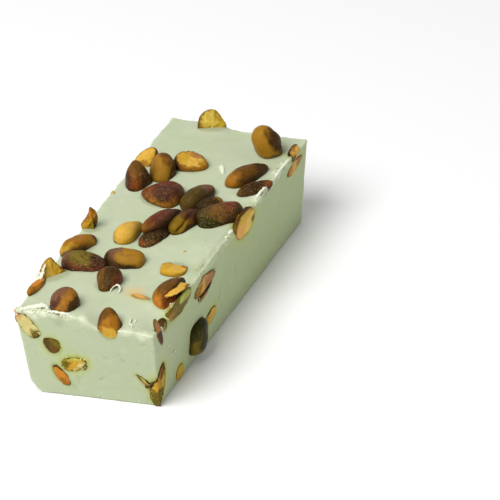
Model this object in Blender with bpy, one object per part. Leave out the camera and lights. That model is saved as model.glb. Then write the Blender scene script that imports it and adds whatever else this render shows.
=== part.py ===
"""A half-pound slab of pistachio fudge: a hand-cut bar, wider at its top than at its base, with pistachio
kernels pressed into its top and cut through at its sides.

X runs across the slab, Y along it and Z up from its base, which lies flat at Z = 0. The near end is at -Y
and the right side at +X. Lengths are written in millimetres and turned into metres by MM.
"""

import math
from collections import namedtuple

import bmesh
import bpy
from mathutils import Matrix, Vector
from mathutils.bvhtree import BVHTree

MM = 0.001

# The slab: its top, how far each side leans in on the way down to the base, and its rounded edges.
WIDTH = 50.0
LENGTH = 125.0
HEIGHT = 32.0
LEAN = {"right": 3.4, "left": 2.1, "near": 3.3, "far": 3.8}
EDGE_RADIUS = 0.9
SKEW = 4.2  # the near end's foot is cut this much further in at its right corner than at its left
FLARE = 1.3  # the slab is this much wider at its far end, on the right
LEFT_FOOT_CUT = 4.6  # the worn edge along the foot of the left side
CENTRE = (-0.44, 0.13)  # moves everything so that the bounding box stands centred on the origin

# Rows of faces across, along and up the slab, measured from its middle, between its rounded edges.
ACROSS = (-18.5, -13.5, -8.5, -3.5, 1.5, 6.0, 10.5, 15.5, 20.0)
ALONG = (-58.5, -55.0, -51.5, -47.0, *(9.0 * i - 40.0 for i in range(11)), 57.0)
UP = (-11.5, -6.0, 1.5, 9.0)

# Poured fudge sets in low swells: (x, y, height, radius) of each on the top.
SWELLS = (
    (-1.5, -60.5, 2.0, 4.5),
    (-12.5, -59.5, 1.3, 5.0),
    (7.0, -61.0, -2.4, 3.8),
    (23.0, -53.5, -2.2, 4.2),
    (8.0, 60.0, -1.3, 9.0),
    (14.0, -12.0, 1.0, 10.0),
    (-8.0, -44.0, 0.7, 9.0),
    (4.0, 36.0, 0.6, 12.0),
    (-18.0, 50.0, 0.5, 9.0),
    (4.0, -16.0, -0.8, 9.0),
)

# The direction of u on each side, to the right for someone looking at it.
SIDES = {
    "right": Vector((0, 1, 0)),
    "left": Vector((0, -1, 0)),
    "near": Vector((1, 0, 0)),
    "far": Vector((-1, 0, 0)),
}

# A kernel: an egg with one end drawn to a point, made of RINGS rings of SEGMENTS points.
RINGS = 5
SEGMENTS = 9
POINTED = 0.16
SOCKET_GAP = 0.3  # between a kernel and the fudge or kernel beside it
PROUD = 0.15  # how far a knife-cut kernel stands out of the side that it was cut with

# Flat breaks, as (direction in the kernel's own axes, how far out as a share of its half size that way).
BREAKS = {
    "whole": (),
    "half": (((0, 0, 1), 0.05),),
    "shaved": (((0.15, 0.2, 1), 0.45),),
    "opened": (((-0.17, -0.86, 0.45), 0.6),),
}

# Where a kernel lies: on a face, at (u, v) on it, its middle sunk below the face. Its long axis is turned in
# the face from u towards v, its point tipped up out of the face, and it is rolled about its long axis.
# On the top, u is X and v is Y. On a side, v is the height and u runs to the right for someone looking at it.
# The knife has trimmed it flush with the sides in trims. Its form names its breaks.
Kernel = namedtuple("Kernel", "name face u v sink length width thick turn tip roll form skin trims")


def kernel(name, place, sink, size, turn, skin, tip=0, roll=0, form="whole", trims=()):
    face = name.split("_")[0]
    return Kernel(name, face, *place, sink, *size, turn, tip, roll, form, skin, trims)


def cut(name, place, sink, size, turn, skin, also=()):
    """A kernel that the knife has trimmed flush with the side it lies in, and with the sides in also."""
    return kernel(name, place, sink, size, turn, skin, trims=(name.split("_")[0], *also))


KERNELS = (
    # Far end of the top.
    kernel("top_01", (-8.3, 59.6), -0.9, (13.2, 9.6, 4.6), 116, "gold", tip=84, form="half"),
    kernel("top_02", (17.0, 50.4), -2.4, (17.2, 9.6, 8.6), 200, "ochre", tip=72, roll=20),
    kernel("top_03", (-21.0, 33.2), -1.0, (10.2, 6.8, 6.6), 60, "gold", tip=35, roll=30, form="shaved"),
    kernel("top_04", (-12.5, 27.5), -1.0, (13.4, 9.2, 8.6), 100, "ochre", tip=52),
    kernel("top_05", (-18.5, 20.0), -1.9, (13.4, 9.2, 8.8), 120, "plum", tip=72, roll=40),
    kernel("top_06", (-5.0, 34.8), -0.9, (12.8, 9.4, 8.2), -6, "gold", roll=12, form="shaved"),
    kernel("top_07", (16.5, 33.0), -0.9, (17.4, 8.2, 7.6), 59, "brown"),
    kernel("top_08", (22.0, 27.0), -0.1, (14.0, 6.4, 5.6), 54, "brown", tip=4),
    # The drift of kernels across the middle.
    kernel("top_09", (-6.3, 13.9), -1.1, (15.6, 12.2, 9.8), 180, "plum"),
    kernel("top_10", (6.5, 15.3), -1.4, (15.8, 8.8, 8.2), 77, "olive"),
    kernel("top_11", (11.4, 12.7), -0.9, (10.6, 6.4, 6.4), 50, "olive"),
    kernel("top_12", (18.0, 7.0), -1.4, (16.6, 9.6, 8.6), 46, "brown"),
    kernel("top_13", (1.5, -3.0), -2.8, (16.6, 7.2, 6.8), 62, "plum"),
    kernel("top_14", (8.4, 0.8), -1.2, (15.6, 7.6, 7.2), 72, "olive"),
    kernel("top_15", (1.5, -9.0), -0.2, (13.8, 7.4, 6.2), 70, "brown"),
    kernel("top_16", (-7.8, -9.9), -0.8, (13.4, 7.8, 7.6), 78, "gold"),
    # Near half of the top.
    kernel("top_17", (-21.8, -10.2), -3.2, (12.0, 6.6, 5.6), 100, "ochre", tip=86, form="half"),
    kernel("top_18", (-20.5, -22.3), -0.9, (14.8, 8.2, 7.8), 66, "ochre"),
    kernel("top_19", (-14.0, -31.5), -0.9, (16.0, 9.2, 8.2), 2, "plum"),
    kernel("top_20", (-2.2, -25.5), -0.9, (13.8, 9.2, 8.2), 8, "ochre"),
    kernel("top_21", (-1.4, -39.5), -1.0, (10.6, 8.4, 8.2), 270, "brown", tip=-14),
    kernel("top_22", (-21.3, -40.3), -0.6, (12.6, 10.4, 6.0), 138, "ochre", tip=72, form="half"),
    kernel("top_23", (-23.8, -48.0), -1.0, (11.0, 3.6, 4.0), 86, "ochre", form="shaved"),
    kernel("top_24", (-9.0, -56.6), -1.1, (11.8, 10.0, 8.4), 100, "plum", tip=25),
    kernel("top_25", (8.2, -59.5), -1.8, (10.6, 8.2, 8.0), 120, "brown", tip=65, trims=("near",)),
    kernel("top_26", (15.9, -25.7), 0.2, (9.0, 8.4, 7.0), 14, "gold", form="shaved"),
    kernel("top_27", (26.0, -41.4), 1.4, (18.0, 7.4, 7.4), 86, "green", trims=("right",)),
    kernel("top_28", (22.2, -40.2), -1.3, (14.6, 11.2, 10.0), 70, "brown", 14, 0, "opened", ("right",)),
    kernel("top_29", (13.0, -43.8), 0.4, (10.0, 2.2, 3.0), -9, "gold"),
    # Cut through at the top of the right side.
    cut("right_01", (10.8, 29.8), 0.6, (15.8, 10.4, 4.6), -8, "gold"),
    cut("right_02", (52.8, 32.4), 0.6, (8.8, 4.0, 4.2), 23, "brown"),
    cut("right_03", (51.6, 27.7), 0.8, (13.0, 4.2, 5.0), 4, "brown"),
    cut("right_04", (-22.0, 26.5), 1.2, (18.0, 6.6, 7.0), -1, "brown"),
    cut("right_05", (-57.8, 30.6), 0.2, (15.0, 3.2, 2.8), 112, "brown"),
    cut("right_06", (-52.9, 29.9), 1.0, (4.6, 4.2, 4.2), 70, "brown"),
    # Lower on the right side.
    kernel("right_07", (-28.4, 9.2), 0.8, (11.8, 11.2, 8.6), 82, "green"),
    cut("right_08", (-17.3, 10.1), 0.8, (9.0, 5.4, 5.6), 8, "gold"),
    cut("right_09", (-41.4, 3.6), 1.0, (6.2, 5.6, 5.2), 64, "gold"),
    cut("right_10", (-56.6, 8.0), 0.4, (17.6, 7.6, 5.8), 76, "olive", also=("near",)),
    # The near end.
    cut("near_01", (-20.8, 27.3), 1.0, (10.6, 6.2, 6.6), -54, "cream"),
    cut("near_02", (-12.9, 20.3), 1.0, (6.6, 6.2, 6.6), -92, "brown"),
    cut("near_03", (-11.6, 8.6), 1.2, (10.4, 4.8, 5.2), -60, "ochre"),
    cut("near_04", (-6.0, 14.0), 1.6, (11.4, 6.2, 6.4), 18, "gold"),
    cut("near_05", (18.9, 9.7), 0.5, (10.2, 2.2, 3.0), -48, "brown"),
    # The left side.
    cut("left_01", (45.0, 24.0), 1.0, (15.0, 7.4, 7.2), 25, "cream"),
    cut("left_02", (27.0, 11.0), 1.4, (14.0, 8.4, 8.0), -40, "brown"),
    cut("left_03", (3.0, 19.0), 1.0, (12.0, 6.4, 6.6), 70, "gold"),
    kernel("left_04", (-17.0, 8.5), 2.4, (14.6, 8.6, 8.0), 10, "green"),
    cut("left_05", (-33.0, 22.0), 1.2, (9.0, 6.0, 6.0), -20, "ochre"),
    cut("left_06", (-52.0, 14.0), 1.2, (15.4, 7.2, 7.0), 55, "olive"),
    # The far end.
    cut("far_01", (-15.0, 22.0), 1.0, (14.6, 8.0, 7.6), 35, "cream"),
    cut("far_02", (2.0, 10.5), 1.4, (12.0, 7.6, 7.4), -15, "brown"),
    cut("far_03", (16.0, 19.0), 1.0, (10.0, 5.6, 6.0), 80, "gold"),
    cut("far_04", (-10.0, 6.0), 1.0, (8.0, 5.0, 5.2), 10, "ochre"),
)

FUDGE_COLOUR = (0.56, 0.63, 0.40)
SKIN_COLOURS = {
    "brown": (0.13, 0.045, 0.012),
    "ochre": (0.33, 0.14, 0.018),
    "gold": (0.55, 0.30, 0.06),
    "plum": (0.10, 0.03, 0.025),
    "olive": (0.07, 0.045, 0.01),
    "green": (0.045, 0.05, 0.008),
    "cream": (0.55, 0.47, 0.20),
}


def material(name, colour, roughness):
    made = bpy.data.materials.new(name)
    made.use_nodes = True
    shader = made.node_tree.nodes["Principled BSDF"]
    shader.inputs["Base Color"].default_value = (*colour, 1)
    shader.inputs["Roughness"].default_value = roughness
    shader.inputs["Metallic"].default_value = 0
    return made


def swell(x, y):
    """How far the top stands above HEIGHT at this place."""
    return sum(h * math.exp(-((x - sx) ** 2 + (y - sy) ** 2) / (2 * r * r)) for sx, sy, h, r in SWELLS)


def leaned(x, y, up):
    """A point of an upright block moved with the slab's leaning sides; up goes from 0 at the base to 1."""
    down = 1 - up
    lean_x = LEAN["right" if x > 0 else "left"] * 2 / WIDTH * down
    lean_y = LEAN["far" if y > 0 else "near"] * 2 / LENGTH * down
    flare = max(x, 0) * 2 / WIDTH * FLARE * (y / LENGTH + 0.5)
    skewed = max(-y, 0) * 2 / LENGTH * SKEW * down * x / WIDTH
    return x * (1 - lean_x) + flare, y * (1 - lean_y) + skewed


def rounded(q, half):
    """q, on the surface of a box of these half sizes, moved onto the box with rounded edges."""
    inner = Vector(max(EDGE_RADIUS - h, min(h - EDGE_RADIUS, c)) for c, h in zip(q, half))
    out = q - inner
    return inner + out.normalized() * EDGE_RADIUS if out.length > 0 else q


def slab_point(a, b, c):
    """The point of the slab's surface for a place on the surface of a box around the origin."""
    q = rounded(Vector((a, b, c)), (WIDTH / 2, LENGTH / 2, HEIGHT / 2))
    up = q.z / HEIGHT + 0.5
    x, y = leaned(q.x, q.y, up)
    z = up * HEIGHT + swell(x, y) * up * up
    worn = LEFT_FOOT_CUT - z - (x + WIDTH / 2 - LEAN["left"])
    if worn > 0:
        x += worn * 0.8
    return Vector((x, y, z)) * MM


def stations(rows, half):
    """The rows from one side of the box to the other, with those of its rounded edges."""
    edge = half - EDGE_RADIUS
    return (-half, -edge, *rows, edge, half)


def grid_face(mesh, corners, point, rows, columns):
    """Adds one side of the box as a grid of quads, sharing the points that neighbouring sides have made."""
    for low, high in zip(rows, rows[1:]):
        for left, right in zip(columns, columns[1:]):
            keys = [corners(*rc) for rc in ((low, left), (low, right), (high, right), (high, left))]
            for key in keys:
                if key not in point:
                    point[key] = mesh.verts.new(slab_point(*key))
            mesh.faces.new([point[key] for key in keys])


def slab_mesh():
    half = (WIDTH / 2, LENGTH / 2, HEIGHT / 2)
    across, along, up = (stations(rows, h) for rows, h in zip((ACROSS, ALONG, UP), half))
    mesh = bmesh.new()
    point = {}
    for side in (-1, 1):
        x, y, z = (side * h for h in half)
        grid_face(mesh, lambda r, c: (c, r, z), point, along, across)
        grid_face(mesh, lambda r, c: (c, y, r), point, up, across)
        grid_face(mesh, lambda r, c: (x, c, r), point, up, along)
    bmesh.ops.remove_doubles(mesh, verts=mesh.verts, dist=1e-6)
    bmesh.ops.dissolve_limit(mesh, angle_limit=1e-4, verts=mesh.verts, edges=mesh.edges)
    bmesh.ops.recalc_face_normals(mesh, faces=mesh.faces)
    return mesh


def on_side(face, u, v):
    """The place on a side of the slab that is u along it and v above the base."""
    along = SIDES[face]
    out = along.cross(Vector((0, 0, 1)))
    down = 1 - v / HEIGHT
    reach = (WIDTH if out.x else LENGTH) / 2 - LEAN[face] * down
    if face == "right":
        reach += FLARE * (u / LENGTH + 0.5)
    if face == "near":
        reach -= SKEW * down * u / WIDTH
    return along * u + out * reach + Vector((0, 0, v))


def face_frame(face, u, v):
    """The place (u, v) on a face with its own axes: along u, along v, and out of the face."""
    if face == "top":
        return Matrix.Translation((u, v, HEIGHT + swell(u, v)))
    middle = on_side(face, u, v)
    along = (on_side(face, u + 1, v) - middle).normalized()
    normal = along.cross(on_side(face, u, v + 1) - middle).normalized()
    turned = Matrix((along, normal.cross(along), normal)).transposed().to_4x4()
    return Matrix.Translation(middle) @ turned


def kernel_frame(k):
    """The kernel's own axes in the slab's: X along it, to its pointed end, Y across and Z through it."""
    placed = face_frame(k.face, k.u, k.v) @ Matrix.Translation((0, 0, -k.sink))
    turned = Matrix.Rotation(math.radians(k.turn), 4, "Z")
    tipped = Matrix.Rotation(-math.radians(k.tip), 4, "Y")
    rolled = Matrix.Rotation(math.radians(k.roll), 4, "X")
    return placed @ turned @ tipped @ rolled


def outer_planes(k, middle):
    """The planes that a kernel stays inside, with Z out of each: the sides it was cut with, and the base."""
    planes = [Matrix.Translation((0, 0, SOCKET_GAP)) @ Matrix.Rotation(math.pi, 4, "X")]
    for face in k.trims:
        side = face_frame(face, middle.dot(SIDES[face]), middle.z)
        planes.append(side @ Matrix.Translation((0, 0, PROUD)))
    return planes


def kernel_planes(k, frame, grown):
    """The flat cuts of a kernel in its own axes, as (point, direction): its breaks and the outer planes."""
    half = Vector((k.length, k.width, k.thick)) / 2
    planes = []
    for direction, share in BREAKS[k.form]:
        normal = Vector(direction).normalized()
        reach = Vector(n * h for n, h in zip(normal, half)).length
        planes.append((normal * (reach * share + grown), normal))
    inverse = frame.inverted()
    for plane in [] if grown else outer_planes(k, frame.translation):
        normal = (inverse.to_3x3() @ plane.to_3x3() @ Vector((0, 0, 1))).normalized()
        planes.append((inverse @ plane.translation, normal))
    return planes


def kernel_mesh(k, grown=0.0):
    """The kernel's closed mesh; grown makes it that much larger all round, as a cutter for its socket."""
    frame = kernel_frame(k)
    half = Vector((k.length, k.width, k.thick)) / 2 + Vector((grown,) * 3)
    planes = kernel_planes(k, frame, grown)
    heart = Vector()
    for place, normal in planes:
        beyond = (heart - place).dot(normal) + 0.2 * half.z
        if beyond > 0:
            heart -= normal * beyond

    def clipped(p):
        share = 1.0
        for place, normal in planes:
            over = (p - heart).dot(normal)
            room = (place - heart).dot(normal)
            if over > room:
                share = min(share, room / over)
        return frame @ (heart + (p - heart) * share) * MM

    mesh = bmesh.new()
    tips = [mesh.verts.new(clipped(Vector((end * half.x, 0, 0)))) for end in (-1, 1)]
    rings = []
    for i in range(1, RINGS):
        t = -math.cos(math.pi * i / RINGS)
        girth = math.sin(math.pi * i / RINGS) * (1 - POINTED * t)
        ring = []
        for j in range(SEGMENTS):
            turn = 2 * math.pi * j / SEGMENTS
            p = Vector((t * half.x, girth * half.y * math.cos(turn), girth * half.z * math.sin(turn)))
            ring.append(mesh.verts.new(clipped(p)))
        rings.append(ring)
    for j in range(SEGMENTS):
        n = (j + 1) % SEGMENTS
        mesh.faces.new((tips[0], rings[0][n], rings[0][j]))
        mesh.faces.new((tips[1], rings[-1][j], rings[-1][n]))
        for low, high in zip(rings, rings[1:]):
            mesh.faces.new((low[j], low[n], high[n], high[j]))
    bmesh.ops.recalc_face_normals(mesh, faces=mesh.faces)
    return mesh


def add(name, mesh, colour_material, cutter=False):
    bmesh.ops.triangulate(mesh, faces=mesh.faces)
    data = bpy.data.meshes.new(name)
    mesh.to_mesh(data)
    mesh.free()
    made = bpy.data.objects.new(name, data)
    made.location = (*(MM * c for c in CENTRE), 0)
    bpy.context.scene.collection.objects.link(made)
    if cutter:
        made.hide_render = True
        made.display_type = "WIRE"
    else:
        data.materials.append(colour_material)
        if name != "fudge":
            data.shade_smooth()
            data.set_sharp_from_angle(angle=math.radians(35))
    return made


def cut_away(made, operand):
    cutting = made.modifiers.new("cut", "BOOLEAN")
    cutting.operation = "DIFFERENCE"
    cutting.solver = "EXACT"
    if isinstance(operand, bpy.types.Collection):
        cutting.operand_type = "COLLECTION"
        cutting.collection = operand
    else:
        cutting.object = operand


def tree_of(made):
    return BVHTree.FromPolygons([v.co for v in made.data.vertices], [p.vertices for p in made.data.polygons])


def main():
    for old in list(bpy.data.objects):
        bpy.data.objects.remove(old)
    skins = {name: material("nut_" + name, colour, 0.45) for name, colour in SKIN_COLOURS.items()}
    fudge = add("fudge", slab_mesh(), material("fudge", FUDGE_COLOUR, 0.5))
    sockets = bpy.data.collections.new("sockets")
    placed = []
    for k in KERNELS:
        made = add("nut_" + k.name, kernel_mesh(k), skins[k.skin])
        cutter = add("socket_" + k.name, kernel_mesh(k, SOCKET_GAP), None, cutter=True)
        sockets.objects.link(cutter)
        tree = tree_of(made)
        for other_cutter, other_tree in placed:
            if tree.overlap(other_tree):
                cut_away(made, other_cutter)
        placed.append((cutter, tree_of(cutter)))
    cut_away(fudge, sockets)


main()
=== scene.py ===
"""The looks of a slab of pistachio fudge: its fine fudge and kernels, with the floor, light and camera.

Lengths are in millimetres until MM turns them into metres. As in the solids, X runs across the slab, Y along
it from its near end to its far end, and Z up from its base.
"""

import math
from collections import namedtuple

import bmesh
import bpy
import numpy as np
from mathutils import Matrix, Vector, noise
from mathutils.bvhtree import BVHTree


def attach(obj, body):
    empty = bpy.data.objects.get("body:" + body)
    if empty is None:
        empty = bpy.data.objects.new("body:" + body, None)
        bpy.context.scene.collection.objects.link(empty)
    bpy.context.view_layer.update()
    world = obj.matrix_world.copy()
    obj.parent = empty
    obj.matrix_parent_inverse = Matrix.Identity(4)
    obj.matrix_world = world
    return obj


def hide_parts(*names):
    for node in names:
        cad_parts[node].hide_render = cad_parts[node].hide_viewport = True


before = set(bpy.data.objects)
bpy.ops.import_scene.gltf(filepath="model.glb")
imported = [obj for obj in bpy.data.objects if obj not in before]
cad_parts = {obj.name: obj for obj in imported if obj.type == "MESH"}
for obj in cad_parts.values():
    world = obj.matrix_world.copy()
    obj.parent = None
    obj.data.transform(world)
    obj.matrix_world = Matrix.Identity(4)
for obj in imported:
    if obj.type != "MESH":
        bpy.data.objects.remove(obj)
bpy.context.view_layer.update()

MM = 0.001

# The slab, as in the solids: its sizes, how far each side leans in at its foot, and its rounded edges.
WIDTH = 50.0
LENGTH = 125.0
HEIGHT = 32.0
LEAN = {"right": 3.4, "left": 2.1, "near": 3.3, "far": 3.8}
EDGE_RADIUS = 0.9
SKEW = 4.2  # the near end's foot is cut this much further in at its right corner than at its left
FLARE = 1.3  # the slab is this much wider at its far end, on the right
LEFT_FOOT_CUT = 4.6  # the worn edge along the foot of the left side
TO_CENTRE = np.array((-0.44, 0.13, 0.0))  # moves the solids' bounding box so that it's centred on the origin
PROUD = 0.15  # how far a kernel's cut stands out of the side it's trimmed with
POINTED = 0.16  # how much slimmer a kernel is at its pointed end

# Swells of the poured top: (x, y, height, radius).
SWELLS = (
    (-1.5, -60.5, 2.0, 4.5),
    (-12.5, -59.5, 1.3, 5.0),
    (7.0, -61.0, -2.4, 3.8),
    (23.0, -53.5, -2.2, 4.2),
    (8.0, 60.0, -1.3, 9.0),
    (14.0, -12.0, 1.0, 10.0),
    (-8.0, -44.0, 0.7, 9.0),
    (4.0, 36.0, 0.6, 12.0),
    (-18.0, 50.0, 0.5, 9.0),
    (4.0, -16.0, -0.8, 9.0),
)

SIDES = {
    "right": Vector((0, 1, 0)),
    "left": Vector((0, -1, 0)),
    "near": Vector((1, 0, 0)),
    "far": Vector((-1, 0, 0)),
}

# Flat breaks: (direction in the kernel's own axes, how far out as a share of its half size that way).
BREAKS = {
    "whole": (),
    "half": (((0, 0, 1), 0.05),),
    "shaved": (((0.15, 0.2, 1), 0.45),),
    "opened": (((-0.17, -0.86, 0.45), 0.6),),
}

# A kernel as in the solids: where it lies, its size, how it is turned and what has cut or broken it.
Kernel = namedtuple("Kernel", "name face u v sink length width thick turn tip roll form trims")


def kernel(name, place, sink, size, turn, tip=0, roll=0, form="whole", trims=()):
    """A kernel in the face that its name begins with. Its middle lies this far below the face."""
    face = name.split("_")[0]
    return Kernel(name, face, *place, sink, *size, turn, tip, roll, form, trims)


def cut(name, place, sink, size, turn, also=()):
    """A kernel that the knife has trimmed flush with the side it lies in, and with the sides in also."""
    return kernel(name, place, sink, size, turn, trims=(name.split("_")[0], *also))


KERNELS = (
    # Far end of the top.
    kernel("top_01", (-8.3, 59.6), -0.9, (13.2, 9.6, 4.6), 116, tip=84, form="half"),
    kernel("top_02", (17.0, 50.4), -2.4, (17.2, 9.6, 8.6), 200, tip=72, roll=20),
    kernel("top_03", (-21.0, 33.2), -1.0, (10.2, 6.8, 6.6), 60, tip=35, roll=30, form="shaved"),
    kernel("top_04", (-12.5, 27.5), -1.0, (13.4, 9.2, 8.6), 100, tip=52),
    kernel("top_05", (-18.5, 20.0), -1.9, (13.4, 9.2, 8.8), 120, tip=72, roll=40),
    kernel("top_06", (-5.0, 34.8), -0.9, (12.8, 9.4, 8.2), -6, roll=12, form="shaved"),
    kernel("top_07", (16.5, 33.0), -0.9, (17.4, 8.2, 7.6), 59),
    kernel("top_08", (22.0, 27.0), -0.1, (14.0, 6.4, 5.6), 54, tip=4),
    # The drift of kernels across the middle.
    kernel("top_09", (-6.3, 13.9), -1.1, (15.6, 12.2, 9.8), 180),
    kernel("top_10", (6.5, 15.3), -1.4, (15.8, 8.8, 8.2), 77),
    kernel("top_11", (11.4, 12.7), -0.9, (10.6, 6.4, 6.4), 50),
    kernel("top_12", (18.0, 7.0), -1.4, (16.6, 9.6, 8.6), 46),
    kernel("top_13", (1.5, -3.0), -2.8, (16.6, 7.2, 6.8), 62),
    kernel("top_14", (8.4, 0.8), -1.2, (15.6, 7.6, 7.2), 72),
    kernel("top_15", (1.5, -9.0), -0.2, (13.8, 7.4, 6.2), 70),
    kernel("top_16", (-7.8, -9.9), -0.8, (13.4, 7.8, 7.6), 78),
    # Near half of the top.
    kernel("top_17", (-21.8, -10.2), -3.2, (12.0, 6.6, 5.6), 100, tip=86, form="half"),
    kernel("top_18", (-20.5, -22.3), -0.9, (14.8, 8.2, 7.8), 66),
    kernel("top_19", (-14.0, -31.5), -0.9, (16.0, 9.2, 8.2), 2),
    kernel("top_20", (-2.2, -25.5), -0.9, (13.8, 9.2, 8.2), 8),
    kernel("top_21", (-1.4, -39.5), -1.0, (10.6, 8.4, 8.2), 270, tip=-14),
    kernel("top_22", (-21.3, -40.3), -0.6, (12.6, 10.4, 6.0), 138, tip=72, form="half"),
    kernel("top_23", (-23.8, -48.0), -1.0, (11.0, 3.6, 4.0), 86, form="shaved"),
    kernel("top_24", (-9.0, -56.6), -1.1, (11.8, 10.0, 8.4), 100, tip=25),
    kernel("top_25", (8.2, -59.5), -1.8, (10.6, 8.2, 8.0), 120, tip=65, trims=("near",)),
    kernel("top_26", (15.9, -25.7), 0.2, (9.0, 8.4, 7.0), 14, form="shaved"),
    kernel("top_27", (26.0, -41.4), 1.4, (18.0, 7.4, 7.4), 86, trims=("right",)),
    kernel("top_28", (22.2, -40.2), -1.3, (14.6, 11.2, 10.0), 70, tip=14, form="opened", trims=("right",)),
    kernel("top_29", (13.0, -43.8), 0.4, (10.0, 2.2, 3.0), -9),
    # Cut through at the top of the right side.
    cut("right_01", (10.8, 29.8), 0.6, (15.8, 10.4, 4.6), -8),
    cut("right_02", (52.8, 32.4), 0.6, (8.8, 4.0, 4.2), 23),
    cut("right_03", (51.6, 27.7), 0.8, (13.0, 4.2, 5.0), 4),
    cut("right_04", (-22.0, 26.5), 1.2, (18.0, 6.6, 7.0), -1),
    cut("right_05", (-57.8, 30.6), 0.2, (15.0, 3.2, 2.8), 112),
    cut("right_06", (-52.9, 29.9), 1.0, (4.6, 4.2, 4.2), 70),
    # Lower on the right side.
    kernel("right_07", (-28.4, 9.2), 0.8, (11.8, 11.2, 8.6), 82),
    cut("right_08", (-17.3, 10.1), 0.8, (9.0, 5.4, 5.6), 8),
    cut("right_09", (-41.4, 3.6), 1.0, (6.2, 5.6, 5.2), 64),
    cut("right_10", (-56.6, 8.0), 0.4, (17.6, 7.6, 5.8), 76, also=("near",)),
    # The near end.
    cut("near_01", (-20.8, 27.3), 1.0, (10.6, 6.2, 6.6), -54),
    cut("near_02", (-12.9, 20.3), 1.0, (6.6, 6.2, 6.6), -92),
    cut("near_03", (-11.6, 8.6), 1.2, (10.4, 4.8, 5.2), -60),
    cut("near_04", (-6.0, 14.0), 1.6, (11.4, 6.2, 6.4), 18),
    cut("near_05", (18.9, 9.7), 0.5, (10.2, 2.2, 3.0), -48),
    # The left side.
    cut("left_01", (45.0, 24.0), 1.0, (15.0, 7.4, 7.2), 25),
    cut("left_02", (27.0, 11.0), 1.4, (14.0, 8.4, 8.0), -40),
    cut("left_03", (3.0, 19.0), 1.0, (12.0, 6.4, 6.6), 70),
    kernel("left_04", (-17.0, 8.5), 2.4, (14.6, 8.6, 8.0), 10),
    cut("left_05", (-33.0, 22.0), 1.2, (9.0, 6.0, 6.0), -20),
    cut("left_06", (-52.0, 14.0), 1.2, (15.4, 7.2, 7.0), 55),
    # The far end.
    cut("far_01", (-15.0, 22.0), 1.0, (14.6, 8.0, 7.6), 35),
    cut("far_02", (2.0, 10.5), 1.4, (12.0, 7.6, 7.4), -15),
    cut("far_03", (16.0, 19.0), 1.0, (10.0, 5.6, 6.0), 80),
    cut("far_04", (-10.0, 6.0), 1.0, (8.0, 5.0, 5.2), 10),
)


def linear(share):
    """One part of a colour given as on a screen, from 0 to 1, in the linear terms that the shaders use."""
    return share / 12.92 if share < 0.04045 else ((share + 0.055) / 1.055) ** 2.4


def srgb(red, green, blue):
    """A colour given as on a screen, from 0 to 255, in linear terms."""
    return tuple(linear(part / 255) for part in (red, green, blue))


COLOURS = {
    "char": srgb(26, 14, 6),
    "umber": srgb(58, 36, 10),
    "brown": srgb(100, 64, 16),
    "rust": srgb(122, 60, 18),
    "amber": srgb(154, 100, 22),
    "orange": srgb(196, 124, 36),
    "ochre": srgb(154, 110, 26),
    "mustard": srgb(136, 106, 14),
    "gold": srgb(196, 152, 44),
    "yellow": srgb(204, 170, 48),
    "tan": srgb(210, 166, 66),
    "lemon": srgb(226, 194, 84),
    "plum": srgb(70, 32, 24),
    "wine": srgb(104, 46, 30),
    "mauve": srgb(114, 74, 52),
    "olive": srgb(76, 60, 16),
    "moss": srgb(104, 90, 18),
    "bottle": srgb(34, 42, 2),
    "lime": srgb(156, 164, 78),
    "cream": srgb(206, 192, 124),
    "bark": srgb(168, 114, 62),
    "blush": srgb(206, 150, 96),
    "oil": srgb(176, 184, 84),
    "grass": srgb(150, 172, 70),
    "apricot": srgb(226, 168, 84),
    "smoke": srgb(140, 150, 120),
    "fudge": srgb(198, 206, 172),
    "white": srgb(224, 228, 204),
}

# The looks of a kernel. Patches lie over its skin and stains over its flesh, each as (colour, way, share): it
# spreads from the spot that faces that way, 1 being that spot alone, 0 half of the kernel and -1 all of it.
# A word said twice in a way counts double.
# dents are (way, share, depth) and push the surface in, or out where depth is below 0.
# grooves are (way, way across, share, depth): each runs over the side that faces the first way, at right
# angles to the second.
# slices are flat cuts that only the fine surface has, as (way, share).
# taper draws its pointed end out or, below 0, its other end.
# blunt is 2 for round ends, more for full ones and less for thin ones, facets how angular it is, wrinkle how
# creased its skin, rough how rough its breaks, and halo how far its oil has tinted the fudge around it.
Looks = namedtuple(
    "Looks",
    "skin patches flesh stains dents grooves slices taper blunt facets wrinkle rough halo",
    defaults=("brown", (), "tan", (), (), (), (), POINTED, 2.0, 0.5, 0.6, 1.0, 0.0),
)

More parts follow.
